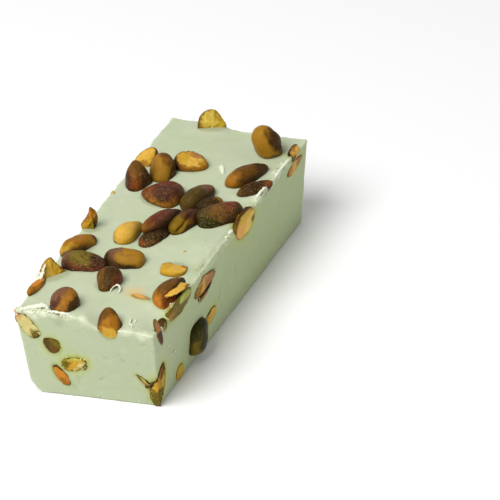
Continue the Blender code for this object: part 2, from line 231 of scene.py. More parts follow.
# Umber and char patches on a kernel's right and lower side are painted shade, on the side turned from the key
# light.
LOOKS = {
    "top_01": Looks(
        "brown", (("yellow", "right right up", 0.7),),
        "lemon", (("yellow", "right down", 0.3), ("mustard", "left", 0.85)),
        dents=(("right right up", 0.86, 1.9),), taper=0.1, blunt=2.2, wrinkle=0.4,
    ),
    "top_02": Looks(
        "amber", (
            ("ochre", "near", 0.3), ("ochre", "left up", 0.3), ("ochre", "near near down", 0.5),
            ("umber", "right right up", 0.8), ("mustard", "near down", 0.9),
        ),
        dents=(("right right up", 0.9, -0.7), ("right near down", 0.72, 0.9), ("left down", 0.7, 0.6)),
        taper=-0.3, blunt=2.1, facets=0.7, wrinkle=0.2,
    ),
    "top_03": Looks(
        "ochre", (("brown", "far right", 0.3),),
        "gold", (("tan", "left up", 0.3), ("ochre", "near", 0.6)),
        facets=1.2, wrinkle=0.4,
    ),
    "top_04": Looks(
        "ochre", (("amber", "up left", 0.85), ("brown", "up right far", 0.6), ("umber", "right", 0.78)),
        taper=0.1, blunt=2.3, facets=0.6, wrinkle=0.3,
    ),
    "top_05": Looks(
        "bark", (
            ("rust", "near", 0.4), ("brown", "up", 0.6), ("plum", "near left", 0.66),
            ("umber", "right", 0.6), ("char", "left left near", 0.84),
        ),
        taper=0.24, facets=1.4, wrinkle=0.5,
    ),
    "top_06": Looks(
        "amber", (("brown", "left down", 0.2),),
        "tan", (("bark", "far", 0.45), ("gold", "left", 0.2), ("ochre", "right", 0.8)),
        grooves=(("up", "near left", 0.3, 0.25),), rough=1.5,
    ),
    "top_07": Looks(
        "brown", (("amber", "left near", 0.45), ("umber", "right down", 0.3), ("umber", "up far", 0.6)),
        wrinkle=0.3,
    ),
    "top_08": Looks(
        "umber", (("brown", "left", 0.5), ("rust", "far right", 0.6)),
        facets=0.8, wrinkle=0.8,
    ),
    "top_09": Looks(
        "amber", (
            ("rust", "left up", 0.35), ("rust", "right far", 0.2), ("wine", "up up far", 0.6),
            ("amber", "near near near right", 0.5), ("wine", "up up up up near near right", 0.76),
            ("plum", "up up up up near near right", 0.83),
        ),
        dents=(("up", 0.86, 0.5),), taper=0.42, blunt=1.9, facets=1.2, wrinkle=0.9,
    ),
    "top_10": Looks(
        "olive", (
            ("mauve", "far right up", 0.6), ("bottle", "right down", 0.35), ("brown", "near down", 0.75),
        ),
        taper=0.3, wrinkle=0.3,
    ),
    "top_11": Looks("umber", (("ochre", "far right up", 0.8), ("char", "near left", 0.4)), facets=0.8),
    "top_12": Looks(
        "brown", (
            ("wine", "far right up", 0.5), ("olive", "near left", 0.35), ("bottle", "near down", 0.4),
            ("umber", "right down", 0.3),
        ),
        taper=0.0, blunt=2.8, facets=0.8, wrinkle=1.0,
    ),
    "top_13": Looks(
        "plum", (
            ("rust", "near left", 0.4), ("amber", "near near left down", 0.75), ("wine", "up", 0.85),
            ("char", "right down", 0.3),
        ),
        facets=1.2,
    ),
    "top_14": Looks(
        "brown", (
            ("mustard", "up near near", 0.5), ("olive", "left down", 0.5), ("plum", "far right up", 0.35),
            ("umber", "right down", 0.3),
        ),
        grooves=(("up up near right", "right right down", 0.62, 1.0),), facets=0.6, wrinkle=0.3,
    ),
    "top_15": Looks(
        "brown", (("umber", "up", 0.5), ("char", "far right", 0.1), ("rust", "near left", 0.8)),
        facets=0.8, wrinkle=1.2,
    ),
    "top_16": Looks(
        "tan", (("gold", "right down", 0.1), ("mustard", "left down", 0.35)),
        blunt=2.1, facets=0.1, wrinkle=0.1,
    ),
    "top_17": Looks(
        "amber", (("umber", "down right", 0.3),),
        "gold", (("mustard", "right down", 0.3), ("orange", "up", 0.7)),
        dents=(("left left up", 0.7, 2.8), ("right up", 0.85, 0.9), ("right right right down", 0.6, 1.8)),
        taper=0.3, facets=1.0, rough=1.6,
    ),
    "top_18": Looks(
        "gold", (
            ("ochre", "right", 0.0), ("amber", "up", 0.75), ("brown", "right near down", 0.35),
            ("umber", "right near down", 0.62), ("wine", "far right", 0.75),
        ),
        dents=(("right right right near", 0.9, 0.8),), taper=0.22, facets=1.0, wrinkle=0.2,
    ),
    "top_19": Looks(
        "moss", (
            ("mauve", "left", 0.5), ("plum", "right", 0.4), ("wine", "near down", 0.2),
            ("char", "up up up right", 0.975), ("plum", "up up left left", 0.97),
        ),
        blunt=2.4, facets=0.8, wrinkle=1.1,
    ),
    "top_20": Looks(
        "ochre", (("mauve", "left up", 0.6), ("umber", "near down", 0.3), ("umber", "left near", 0.7)),
        taper=0.0, blunt=2.8, facets=1.2, wrinkle=0.3,
    ),
    "top_21": Looks(
        "brown", (("umber", "right up", 0.4), ("wine", "right", 0.7)),
        taper=0.3, facets=1.0, wrinkle=0.4,
    ),
    "top_22": Looks(
        "amber", (("ochre", "left", 0.4),),
        "gold", (("tan", "left", 0.3), ("ochre", "near down", 0.6)),
        dents=(("right up far", 0.8, 1.0),), taper=0.3, facets=0.6,
    ),
    "top_23": Looks(
        "orange", (("amber", "near", 0.4),),
        "orange", (("amber", "near", 0.5),),
        facets=1.0, rough=0.8,
    ),
    "top_24": Looks(
        "amber", (
            ("brown", "near down", 0.55), ("plum", "left", 0.1), ("mauve", "left up up", 0.68),
            ("umber", "right right down", 0.4),
        ),
        taper=0.05, facets=0.8,
    ),
    "top_25": Looks(
        "brown", (("amber", "near right", 0.4), ("plum", "left", 0.6), ("umber", "right", 0.85)),
        "gold", (("amber", "up", 0.1), ("amber", "left", 0.4)),
        taper=0.28, wrinkle=0.2, rough=0.5, halo=0.3,
    ),
    "top_26": Looks(
        "gold", (("amber", "far", 0.2),),
        "tan", (("gold", "left", 0.3), ("amber", "right far", 0.88)),
        dents=(("far far up", 0.9, 1.3),), taper=0.0, blunt=2.8, facets=0.2, wrinkle=0.1, rough=0.2,
    ),
    "top_27": Looks(
        "moss", (("bottle", "right down", 0.3), ("ochre", "near down", 0.75)),
        "moss", (
            ("oil", "up up far left", 0.6), ("lime", "far far up up", 0.8), ("bottle", "right down", 0.8),
            ("ochre", "near near down", 0.85),
        ),
        slices=(("left up", 0.68),), taper=0.0, blunt=2.4, wrinkle=0.2, rough=0.7, halo=1.0,
    ),
    "top_28": Looks(
        "brown", (("amber", "near left down", 0.35), ("orange", "near near left down", 0.75)),
        "umber", (("orange", "near left", 0.5), ("rust", "near", 0.3), ("char", "right far", 0.7)),
        slices=(("right", 0.28),), wrinkle=0.3, halo=0.4,
    ),
    "top_29": Looks(
        "apricot", (("orange", "near down", 0.4),),
        taper=0.3, facets=0.1, wrinkle=0.1, halo=0.5,
    ),
    "right_01": Looks(
        "tan", (("oil", "far", 0.6), ("amber", "up", 0.5)),
        "apricot", (
            ("yellow", "up left", 0.2), ("lemon", "far down", 0.4), ("olive", "far far down", 0.88),
        ),
        slices=(("left left up", 0.8),), taper=0.1, blunt=2.2, wrinkle=0.3, halo=1.4,
    ),
    "right_02": Looks(
        "moss", (("umber", "left", 0.3),),
        "tan", (("bark", "up", 0.4), ("brown", "near down", 0.7)),
        grooves=(("right", "down", -0.5, 0.5),), slices=(("up right", 0.05),), wrinkle=0.8, rough=1.6,
        halo=0.8,
    ),
    "right_03": Looks("umber", (), "tan", (("bark", "far", 0.3), ("orange", "near", 0.5)), halo=0.9),
    "right_04": Looks(
        "umber", (),
        "tan", (("bark", "far", 0.0), ("ochre", "near", 0.5), ("blush", "up", 0.7)),
        grooves=(("right up", "down", -0.5, 0.6), ("right up", "down near", -0.2, 0.5)), rough=1.8,
        halo=0.5,
    ),
    "right_05": Looks("bark", (("tan", "left up", 0.0),), "bark", (("plum", "down", 0.1),), halo=0.2),
    "right_06": Looks(
        "ochre", (("bottle", "right far", 0.5), ("brown", "up", 0.7)),
        "ochre", (("bottle", "right far", 0.5),),
        halo=0.4,
    ),
    "right_07": Looks(
        "bottle", (("moss", "near near down right", 0.8),),
        taper=0.0, blunt=4.0, facets=0.3, wrinkle=0.1, halo=0.4,
    ),
    "right_08": Looks(
        "brown", (),
        "tan", (("amber", "up left", 0.8), ("gold", "near", 0.4)),
        taper=0.0, blunt=2.4, halo=1.0,
    ),
    "right_09": Looks("gold", (), "yellow", (("gold", "near down", 0.6),), halo=1.0),
    "right_10": Looks(
        "brown", (),
        "gold", (
            ("moss", "down", 0.3), ("oil", "up far", 0.6), ("amber", "up", 0.7),
            ("umber", "up left", 0.75),
        ),
        blunt=1.7, rough=4.5, halo=1.4,
    ),
    "near_01": Looks(
        "olive", (),
        "cream", (("blush", "up left", 0.86), ("moss", "down right", 0.72)),
        taper=0.0, blunt=3.2, rough=1.5, halo=0.5,
    ),
    "near_02": Looks(
        "umber", (),
        "brown", (("olive", "left", 0.2), ("moss", "right up", 0.5)),
        taper=0.42, blunt=2.6, facets=1.0, rough=0.4, halo=1.0,
    ),
    "near_03": Looks(
        "brown", (),
        "orange", (("amber", "down", 0.5), ("gold", "left", 0.7)),
        taper=-0.3, halo=0.6,
    ),
    "near_04": Looks(
        "gold", (),
        "gold", (("cream", "right down", 0.5), ("moss", "left", 0.4), ("oil", "up", 0.5)),
        rough=5.0, halo=1.3,
    ),
    "near_05": Looks(
        "ochre", (),
        "bark", (("oil", "right up", 0.4), ("moss", "down", 0.3), ("umber", "left", 0.75)),
        grooves=(("near", "up right", -0.6, 0.5),), rough=2.0, halo=0.8,
    ),
    "left_01": Looks("olive", (), "cream", (("lime", "down", 0.4),), halo=1.0),
    "left_02": Looks("umber", (), "bark", (("ochre", "up", 0.4),), halo=0.8),
    "left_03": Looks("brown", halo=1.0),
    "left_04": Looks("bottle", (("moss", "near down", 0.6),), wrinkle=0.3, halo=0.4),
    "left_05": Looks("umber", (), "ochre", (("mustard", "down", 0.4),), halo=1.0),
    "left_06": Looks("moss", (), "lime", (("cream", "up", 0.4),), halo=1.2),
    "far_01": Looks("olive", (), "cream", (("lime", "down", 0.4),), halo=1.0),
    "far_02": Looks("brown", (), "bark", (("orange", "down", 0.3),), halo=0.8),
    "far_03": Looks("brown", (), "gold", halo=1.0),
    "far_04": Looks("umber", (), "orange", halo=0.8),
}

WAYS = {
    "up": Vector((0, 0, 1)),
    "down": Vector((0, 0, -1)),
    "near": Vector((0, -1, 0)),
    "far": Vector((0, 1, 0)),
    "left": Vector((-1, 0, 0)),
    "right": Vector((1, 0, 0)),
}

# What has soaked or shows through the fudge: (place, radius, colour, strength).
SOAKED = (
    ((-9.3, -62.0, 30.6), 1.7, "smoke", 0.55),
    ((-7.9, -60.3, 4.3), 1.4, "smoke", 0.40),
    ((8.4, -40.8, 32.5), 3.0, "apricot", 0.60),
    ((10.6, -42.6, 32.5), 1.8, "orange", 0.40),
    ((25.0, -22.0, 33.5), 3.0, "grass", 0.55),
    ((25.0, -50.0, 30.0), 2.6, "grass", 0.60),
    ((23.0, -55.0, 32.0), 2.2, "grass", 0.25),
    ((22.5, -18.0, 33.6), 1.1, "blush", 0.45),
    ((23.0, -21.5, 33.6), 1.0, "blush", 0.40),
)

# Fudge dragged up by the knife: (place, radius, how far it stands up, how white it is).
DRAGGED = (
    ((-23.0, -61.5, 32.5), 2.6, 0.7, 1.0),
    ((-18.5, -61.3, 33.0), 2.6, 0.9, 1.0),
    ((-14.5, -61.6, 33.6), 2.0, 0.4, 1.0),
    ((-10.0, -62.2, 33.6), 1.6, 0.1, 1.0),
    ((-6.0, -62.2, 33.6), 1.8, 0.4, 0.9),
    ((0.5, -62.4, 34.0), 2.4, 0.3, 0.8),
    ((4.5, -62.4, 33.0), 2.0, 0.1, 0.8),
    ((15.0, -62.4, 32.0), 2.4, 0.1, 0.7),
    ((21.0, -62.0, 31.5), 2.4, 0.1, 0.7),
    ((25.0, 28.0, 32.5), 2.0, 0.7, 1.0),
    ((25.2, 33.0, 32.4), 1.8, 0.6, 0.9),
    ((25.3, 39.0, 32.3), 1.8, 0.5, 0.9),
    ((25.4, 45.0, 32.0), 1.8, 0.4, 0.8),
    ((24.8, 22.5, 32.5), 2.0, 0.6, 1.0),
    ((24.6, 17.0, 32.5), 1.6, 0.3, 0.9),
    ((5.3, 37.2, 32.4), 1.0, 0.5, 0.9),
    ((6.6, 34.8, 32.4), 0.9, 0.5, 0.8),
)

# Nicks in the sides: (from, to, how wide, how deep).
NICKS = (
    ((2.3, -60.0, 8.4), (4.5, -60.2, 10.2), 0.31, 0.35),
    ((5.6, -60.3, 11.0), (9.1, -60.5, 13.9), 0.25, 0.25),
    ((5.7, -60.9, 18.8), (6.5, -60.9, 18.5), 0.31, 0.40),
    ((11.8, -60.9, 18.8), (12.3, -60.9, 18.2), 0.34, 0.45),
    ((20.6, -61.7, 27.0), (21.6, -61.7, 27.4), 0.28, 0.35),
    ((-12.6, -61.0, 13.0), (-12.2, -61.0, 11.8), 0.31, 0.35),
    ((-17.6, -60.8, 15.6), (-17.2, -60.8, 15.0), 0.28, 0.35),
    ((23.6, -10.0, 13.0), (23.7, -9.4, 17.0), 0.28, 0.35),
    ((23.9, 2.6, 14.0), (24.0, 3.0, 18.6), 0.28, 0.40),
    ((24.2, 8.0, 9.0), (24.3, 8.2, 14.6), 0.28, 0.35),
    ((24.6, 17.0, 16.0), (24.7, 17.4, 20.4), 0.28, 0.35),
    ((24.5, 25.0, 8.0), (24.6, 25.2, 12.0), 0.28, 0.35),
    ((23.4, -33.0, 16.0), (23.5, -32.6, 18.0), 0.28, 0.35),
    ((24.8, 38.0, 18.0), (24.9, 38.6, 21.0), 0.28, 0.35),
    ((-23.4, -30.0, 14.0), (-23.6, -29.0, 18.0), 0.28, 0.35),
    ((-23.6, 12.0, 19.0), (-23.6, 13.5, 22.0), 0.28, 0.35),
    ((-23.4, 44.0, 10.0), (-23.4, 45.0, 13.0), 0.28, 0.35),
    ((6.0, 61.0, 14.0), (8.0, 61.0, 16.5), 0.31, 0.35),
)

# The stretch of the top right edge that has crumbled away: where it starts and ends along Y, over what length
# it does so, how far in and down it reaches, and what shares of these it has slumped.
TORN_START = -27.0
TORN_END = 14.0
TORN_TAPER = 5.0
TORN_ACROSS = 2.6
TORN_DOWN = 3.0
SLUMP_ACROSS = 0.55
SLUMP_DOWN = 0.45

# ---------------------------------------------------------------- the slab's form


def swell(x, y):
    """How far the top stands above HEIGHT at each x and y."""
    return sum(h * np.exp(-((x - sx) ** 2 + (y - sy) ** 2) / (2 * r * r)) for sx, sy, h, r in SWELLS)


def on_side(face, u, v):
    """The place on a side of the slab that is u along it and v above the base."""
    along = SIDES[face]
    out = along.cross(Vector((0, 0, 1)))
    down = 1 - v / HEIGHT
    reach = (WIDTH if out.x else LENGTH) / 2 - LEAN[face] * down
    if face == "right":
        reach += FLARE * (u / LENGTH + 0.5)
    if face == "near":
        reach -= SKEW * down * u / WIDTH
    return along * u + out * reach + Vector((0, 0, v))


def face_frame(face, u, v):
    """The place (u, v) on a face with its own axes: along u, along v, and out of the face."""
    if face == "top":
        return Matrix.Translation((u, v, HEIGHT + float(swell(u, v))))
    middle = on_side(face, u, v)
    along = (on_side(face, u + 1, v) - middle).normalized()
    normal = along.cross(on_side(face, u, v + 1) - middle).normalized()
    turned = Matrix((along, normal.cross(along), normal)).transposed().to_4x4()
    return Matrix.Translation(middle) @ turned


def kernel_frame(k):
    """The kernel's own axes in the slab's: X along it, to its pointed end, Y across and Z through it."""
    placed = face_frame(k.face, k.u, k.v) @ Matrix.Translation((0, 0, -k.sink))
    turned = Matrix.Rotation(math.radians(k.turn), 4, "Z")
    tipped = Matrix.Rotation(-math.radians(k.tip), 4, "Y")
    rolled = Matrix.Rotation(math.radians(k.roll), 4, "X")
    return placed @ turned @ tipped @ rolled


def half_size(k):
    """Half of the kernel's length, width and thickness."""
    return np.array((k.length, k.width, k.thick)) / 2


# ---------------------------------------------------------------- fields over many points

SEED_STEP = 17.3  # how far apart in the noise two neighbouring seeds lie


def smooth(low, high, value):
    """0 up to low, 1 from high on, and an even curve between."""
    t = np.clip((value - low) / (high - low), 0, 1)
    return t * t * (3 - 2 * t)


def noise_at(points, size, seed, octaves=2):
    """Fractal noise from about -1 to 1 with features of this size, a number or one for each axis."""
    scaled = points / np.array(size, float) + seed * SEED_STEP
    return np.array([noise.fractal(p, 1.0, 2.0, octaves) for p in scaled.tolist()])


def falloff(points, place, radius):
    """1 at a place, fading out evenly over this radius and a little beyond."""
    return np.exp(-(((points - np.array(place)) / radius) ** 2).sum(axis=1))


def uneven(points, kind, seed, octaves=2):
    """Noise of this kind, which gives its height and its size."""
    height, size = kind
    return height * noise_at(points, size, seed, octaves)


def beside(gap, reach):
    """1 where the gap is none, fading out over this reach and a little beyond."""
    return np.exp(-np.maximum(gap, 0) / reach)


def along_line(points, start, end, width):
    """1 on the line from start to end, fading out evenly over this width and a little beyond."""
    start, line = np.array(start), np.array(end) - np.array(start)
    share = np.clip((points - start) @ line / (line @ line), 0, 1)
    off = np.linalg.norm(points - start - share[:, None] * line, axis=1)
    return np.exp(-((off / width) ** 2))


def with_column(values, number):
    """The values with a last column that holds this number."""
    return np.hstack((values, np.full((len(values), 1), number)))


def moved(points, matrix):
    """Each point as the matrix moves it."""
    return (with_column(points, 1.0) @ np.array(matrix).T)[:, :3]


# ---------------------------------------------------------------- meshes and their pieces


def store(mesh, values):
    """Keeps one number, three or four for each vertex under each name."""
    for name, value in values.items():
        kind = {1: "FLOAT", 3: "FLOAT_VECTOR", 4: "FLOAT_COLOR"}[1 if value.ndim == 1 else value.shape[1]]
        field = {"FLOAT": "value", "FLOAT_VECTOR": "vector", "FLOAT_COLOR": "color"}[kind]
        mesh.attributes.new(name, kind, "POINT").data.foreach_set(field, value.astype(np.float32).ravel())


def tube_faces(rings, sides):
    """The faces between neighbouring rings that each have this many points."""
    faces = []
    for i in range(0, (rings - 1) * sides, sides):
        for j in range(sides):
            n = (j + 1) % sides
            faces.append((i + j, i + n, i + sides + n, i + sides + j))
    return faces


def closed_mesh(name, points, faces, values):
    """A smooth mesh of one or more closed shapes, with its faces turned outwards."""
    mesh = bpy.data.meshes.new(name)
    mesh.from_pydata((points * MM).tolist(), [], faces)
    store(mesh, values)
    work = bmesh.new()
    work.from_mesh(mesh)
    bmesh.ops.recalc_face_normals(work, faces=work.faces)
    work.to_mesh(mesh)
    work.free()
    mesh.shade_smooth()
    return mesh


def in_scene(name, data):
    """A new object in the scene with this mesh, light or camera."""
    made = bpy.data.objects.new(name, data)
    bpy.context.scene.collection.objects.link(made)
    return made


def add_piece(name, mesh, material, nodes=()):
    """Makes a piece that moves with the slab and stands in for these nodes, if there are any."""
    made = in_scene(name, mesh)
    mesh.materials.append(material)
    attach(made, "root")
    if nodes:
        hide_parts(*nodes)


# ---------------------------------------------------------------- fudge

# The size of the fudge's faces within RIM of an edge, and away from one.
FINE = 0.35
COARSE = 0.62
RIM = 3.0

# An edge: how far from it its raggedness fades, how high that is, and how white its crumbs make it.
Edge = namedtuple("Edge", "reach height white")
TOP_EDGE = Edge(0.7, 0.35, 0.75)
UPRIGHT_EDGE = Edge(0.5, 0.20, 0.55)
FOOT_EDGE = Edge(0.6, 0.25, 0.5)
TOP_EDGE_LIP = 0.05  # how far the knife has raised the top edge everywhere

# Unevenness, as (height, size): waves and a grain on the top, waves on the sides, and the marks that the
# knife has dragged over them, whose size is given along a side, through it and upright.
TOP_WAVES = (0.30, 12)
TOP_GRAIN = (0.04, 2.6)
SIDE_WAVES = (0.12, 9)
KNIFE_MARKS = (0.07, (9.0, 2.0, 1.2))
DRAGGED_LUMPS = (0.9, 1.3)  # of dragged fudge, their height as a share of how far it stands up
RAGGED_SIZE = 2.0  # size of the raggedness of the edges, and LUMP_SIZE of the lumps along them
LUMP_SIZE = 5.0

RISE = 0.50  # how far the fudge rises round a kernel, and RISE_REACH over what distance
RISE_REACH = 1.0
SUNK = 0.6  # how far the fudge lies below a kernel's cut
WORN_SHARE = 0.8  # the share of its reach by which the worn edge of the left foot is pushed in
HALO_REACH = 0.5  # how far the faintest oil has spread round a kernel
HALO_GROWTH = 0.6  # and how much further it has for each unit of the kernel's halo
CONTACT_SHADE_REACH = 0.35  # how far from a kernel the fudge is darkened with painted contact shade
WHITE_SLUMP = 0.35  # how white the crumbled stretch is
FAR_AWAY = 99.0  # a gap wider than any there is

# How much a point belongs to each part of the slab, from 0 to 1.
Zones = namedtuple("Zones", "upward base side top_edge upright foot crumbled")


def stations(half):
    """Rows from one side of the box to the other, close together near its edges."""
    rim = np.arange(0, RIM, FINE)
    middle = np.linspace(RIM, 2 * half - RIM, round((2 * half - 2 * RIM) / COARSE) + 1)
    return np.concatenate((rim, middle, 2 * half - rim[::-1])) - half


def box_lattice(rows):
    """The points of a box's surface lattice, as an array, and its quads."""
    index = {}
    points = []
    quads = []

    def at(key):
        if key not in index:
            index[key] = len(points)
            points.append([rows[axis][key[axis]] for axis in range(3)])
        return index[key]

    for axis in range(3):
        first, second = (axis + 1) % 3, (axis + 2) % 3
        for end in (0, len(rows[axis]) - 1):
            def corner(i, j):
                key = [0, 0, 0]
                key[axis], key[first], key[second] = end, i, j
                return at(tuple(key))
            for i in range(len(rows[first]) - 1):
                for j in range(len(rows[second]) - 1):
                    quad = (corner(i, j), corner(i + 1, j), corner(i + 1, j + 1), corner(i, j + 1))
                    quads.append(quad if end else quad[::-1])
    return np.array(points), quads


def slab_points(box):
    """Points of a box's surface moved onto the slab's surface."""
    half = np.array((WIDTH, LENGTH, HEIGHT)) / 2
    inner = np.clip(box, EDGE_RADIUS - half, half - EDGE_RADIUS)
    out = box - inner
    length = np.maximum(np.linalg.norm(out, axis=1), 1e-9)[:, None]
    q = inner + out / length * np.minimum(length, EDGE_RADIUS)
    up = q[:, 2] / HEIGHT + 0.5
    down = 1 - up
    lean_x = np.where(q[:, 0] > 0, LEAN["right"], LEAN["left"]) * 2 / WIDTH * down
    lean_y = np.where(q[:, 1] > 0, LEAN["far"], LEAN["near"]) * 2 / LENGTH * down
    flare = np.maximum(q[:, 0], 0) * 2 / WIDTH * FLARE * (q[:, 1] / LENGTH + 0.5)
    skewed = np.maximum(-q[:, 1], 0) * 2 / LENGTH * SKEW * down * q[:, 0] / WIDTH
    x = q[:, 0] * (1 - lean_x) + flare
    y = q[:, 1] * (1 - lean_y) + skewed
    z = up * HEIGHT + swell(x, y) * up * up
    worn = LEFT_FOOT_CUT - z - (x + WIDTH / 2 - LEAN["left"])
    x += np.maximum(worn, 0) * WORN_SHARE
    return np.stack((x, y, z), axis=1)


def torn(x, y, z):
    """How much each point belongs to the crumbled stretch of the top right edge."""
    starts = smooth(TORN_START, TORN_START + TORN_TAPER, y)
    stretch = starts * (1 - smooth(TORN_END - TORN_TAPER, TORN_END, y))
    return stretch * smooth(WIDTH / 2 - TORN_ACROSS, WIDTH / 2, x) * smooth(HEIGHT - TORN_DOWN, HEIGHT, z)


def zones_of(box, points, normals):
    """How much each point belongs to the top, base, sides, each kind of edge and the crumbled stretch."""
    half = np.array((WIDTH, LENGTH, HEIGHT)) / 2
    gap = half - np.abs(box)
    nearer = np.minimum(gap[:, 0], gap[:, 1])
    further = np.maximum(gap[:, 0], gap[:, 1])
    upward = smooth(0.4, 0.85, normals[:, 2])
    base = smooth(-0.5, -0.9, normals[:, 2])
    return Zones(
        upward,
        base,
        1 - upward - base,
        beside(np.maximum(half[2] - box[:, 2], nearer), TOP_EDGE.reach),
        beside(further, UPRIGHT_EDGE.reach),
        beside(np.maximum(box[:, 2] + half[2], nearer), FOOT_EDGE.reach),
        torn(*points.T),
    )


def near_kernels(points, frames):
    """Each point's gap to the nearest kernel, the halo of oil it lies in, and how far under a cut it is."""
    gap = np.full(len(points), FAR_AWAY)
    halo = np.zeros(len(points))
    under = np.zeros(len(points))
    for k, place in frames:
        local = moved(points, place.inverted())
        ratio = np.linalg.norm(local / half_size(k), axis=1)
        here = (ratio - 1) * np.linalg.norm(local, axis=1) / np.maximum(ratio, 1e-6)
        gap = np.minimum(gap, here)
        strength = LOOKS[k.name].halo
        halo = np.maximum(halo, strength * beside(here, HALO_REACH + HALO_GROWTH * strength))
        if k.trims:
            under = np.maximum(under, smooth(0.93, 0.8, ratio))
    return gap, halo, under


def relief(points, normals, zones, gap, under, ragged, lumpy):
    """How far each point of the fudge is raised, how white its crumbs make it, and how nicked it is."""
    lift = zones.upward * (uneven(points, TOP_WAVES, 1) + uneven(points, TOP_GRAIN, 2))
    lift += zones.upward * RISE * beside(gap, RISE_REACH)
    height, (along, through, upright) = KNIFE_MARKS
    faces_x = np.abs(normals[:, :1]) > 0.7
    mark_size = np.where(faces_x, (through, along, upright), (along, through, upright))
    lift += zones.side * (uneven(points, SIDE_WAVES, 4) + uneven(points, (height, mark_size), 3, 3))
    lift -= zones.side * under * SUNK
    rim = zones.top_edge * (1 - 0.7 * smooth(0.0, 0.3, zones.crumbled))
    lift += rim * (TOP_EDGE_LIP + TOP_EDGE.height * np.maximum(ragged, -0.2))
    lift += zones.upright * UPRIGHT_EDGE.height * ragged + zones.foot * FOOT_EDGE.height * ragged
    white = TOP_EDGE.white * rim * smooth(-0.5, 0.3, lumpy) + UPRIGHT_EDGE.white * zones.upright
    white += FOOT_EDGE.white * zones.foot * smooth(-0.1, 0.4, lumpy)
    crumbly = 1 + uneven(points, DRAGGED_LUMPS, 7, 3)
    for place, radius, height, whiteness in DRAGGED:
        here = falloff(points, place, radius)
        lift += here * zones.upward * height * crumbly
        white = np.maximum(white, whiteness * smooth(0.15, 0.6, here + 0.25 * ragged))
    nicked = np.zeros(len(points))
    for start, end, width, depth in NICKS:
        here = along_line(points, start, end, width) * zones.side
        lift -= depth * here
        nicked = np.maximum(nicked, here)
    return lift * (1 - zones.base), white, nicked


def soaked_colours(points, halo):
    """The colour that oil or a hidden kernel gives each point, and how strongly."""
    weights = [np.clip(halo, 0, 1.2)]
    colours = [COLOURS["oil"]]
    for place, radius, colour, strength in SOAKED:
        weights.append(strength * falloff(points, place, radius))
        colours.append(COLOURS[colour])
    weights = np.array(weights)
    total = np.maximum(weights.sum(axis=0), 1e-6)
    tint = (weights.T @ np.array(colours)) / total[:, None]
    return with_column(tint, 1.0), np.clip(total, 0, 1)


def fudge_piece(frames):
    """Makes the fudge and returns a tree of its surface, in millimetres."""
    box, quads = box_lattice([stations(h) for h in (WIDTH / 2, LENGTH / 2, HEIGHT / 2)])
    points = slab_points(box)
    mesh = bpy.data.meshes.new("fudge_fine")
    mesh.from_pydata(points.tolist(), [], quads)
    normals = np.zeros(len(points) * 3)
    mesh.vertex_normals.foreach_get("vector", normals)
    normals = normals.reshape(-1, 3)

    zones = zones_of(box, points, normals)
    gap, halo, under = near_kernels(points, frames)
    ragged = noise_at(points, RAGGED_SIZE, 5, 3)
    lumpy = noise_at(points, LUMP_SIZE, 6, 2)
    lift, white, nicked = relief(points, normals, zones, gap, under, ragged, lumpy)
    points += normals * lift[:, None]
    slump = zones.crumbled * (0.6 + 0.2 * lumpy + 0.1 * ragged)
    points[:, 0] -= TORN_ACROSS * SLUMP_ACROSS * slump
    points[:, 2] -= TORN_DOWN * SLUMP_DOWN * slump
    points[:, 2] = np.maximum(points[:, 2], 0)
    broken = smooth(0.02, 0.35, zones.crumbled + 0.12 * ragged) * (zones.crumbled > 0)
    white = np.maximum(white, WHITE_SLUMP * broken)

    tint, soaked = soaked_colours(points, halo)
    far_along = 0.3 + 0.7 * smooth(-62, -20, points[:, 1])
    values = {
        "white": np.clip(white, 0, 1),
        "tint": tint,
        "soaked": soaked,
        "contact_shade": beside(gap, CONTACT_SHADE_REACH),
        "side": zones.side,
        "nicked": nicked,
        "shaded": smooth(0.3, 0.9, np.abs(normals[:, 0])) * zones.side * far_along,
    }
    mesh.vertices.foreach_set("co", ((points + TO_CENTRE) * MM).ravel())
    store(mesh, values)
    mesh.shade_smooth()
    add_piece("fudge_fine", mesh, fudge_material(), ("fudge",))
    return BVHTree.FromPolygons(points.tolist(), quads)


# ---------------------------------------------------------------- kernels

RINGS = 60
SEGMENTS = 46
HOLLOW = 1.9  # depth of the hole in the kernel that has broken open
GROOVE = 0.45  # half the width of a groove
CROWDING = 1.9  # how near another kernel darkens a kernel's skin with painted shade
BREAK_ROUGH = 0.25  # how uneven a broken face is, and TRIM_ROUGH one that the knife has cut
TRIM_ROUGH = 0.08
MOST_RUGGED = 1.2  # a kernel's wrinkles roughen its skin up to this and no further

# The unevenness of a kernel's skin, as (height, size): bulges and fine wrinkles. Its creases run along it.
BULGES = (0.45, 6.0)
WRINKLES = (0.06, (1.6, 0.9, 0.9))
CREASE_DEPTH = 0.28
CREASE_SIZE = (7.0, 1.6, 1.6)
BREAK_SIZE = (1.6, 1.1, 1.1)  # size of the unevenness of a break
FACETS = 0.10  # how much flatter an angular kernel is between its ridges
LEAST_RIDGES = 3  # a kernel has this many ridges along it, or one or two more
PATCH_EDGE = 0.16  # how soft the edge of a patch of colour is
PATCH_WANDER = (0.22, 2.6)  # and how far it strays, as (height, size)
GROOVE_WANDER = (0.5, 4.0)  # how far a groove strays from a straight line, as (height, size)
KERNEL_SEED = 1.9  # how far apart the seeds of two neighbouring kernels are
FLESH_SEED = 50  # how far the seed of a kernel's flesh is from that of its skin
GRAIN_SHIFT = 31  # how far apart in the grain two neighbouring seeds lie

# How high painted shade darkens a kernel's sides above the fudge, and how high those of one cut flush with a
# side.
SUNK_REACH = 1.6
TRIMMED_REACH = 0.4
LOWEST_KERNEL = 0.25  # the least height of any point of a kernel above the floor


def heading(way):
    """The direction that these words give, in the slab's axes."""
    return sum((WAYS[word] for word in way.split()), Vector()).normalized()


def flat_cut(half, normal, share):
    """The point of a cut at right angles to normal, this share of the way from the middle to the skin."""
    reach = Vector(n * h for n, h in zip(normal, half)).length
    return normal * reach * share


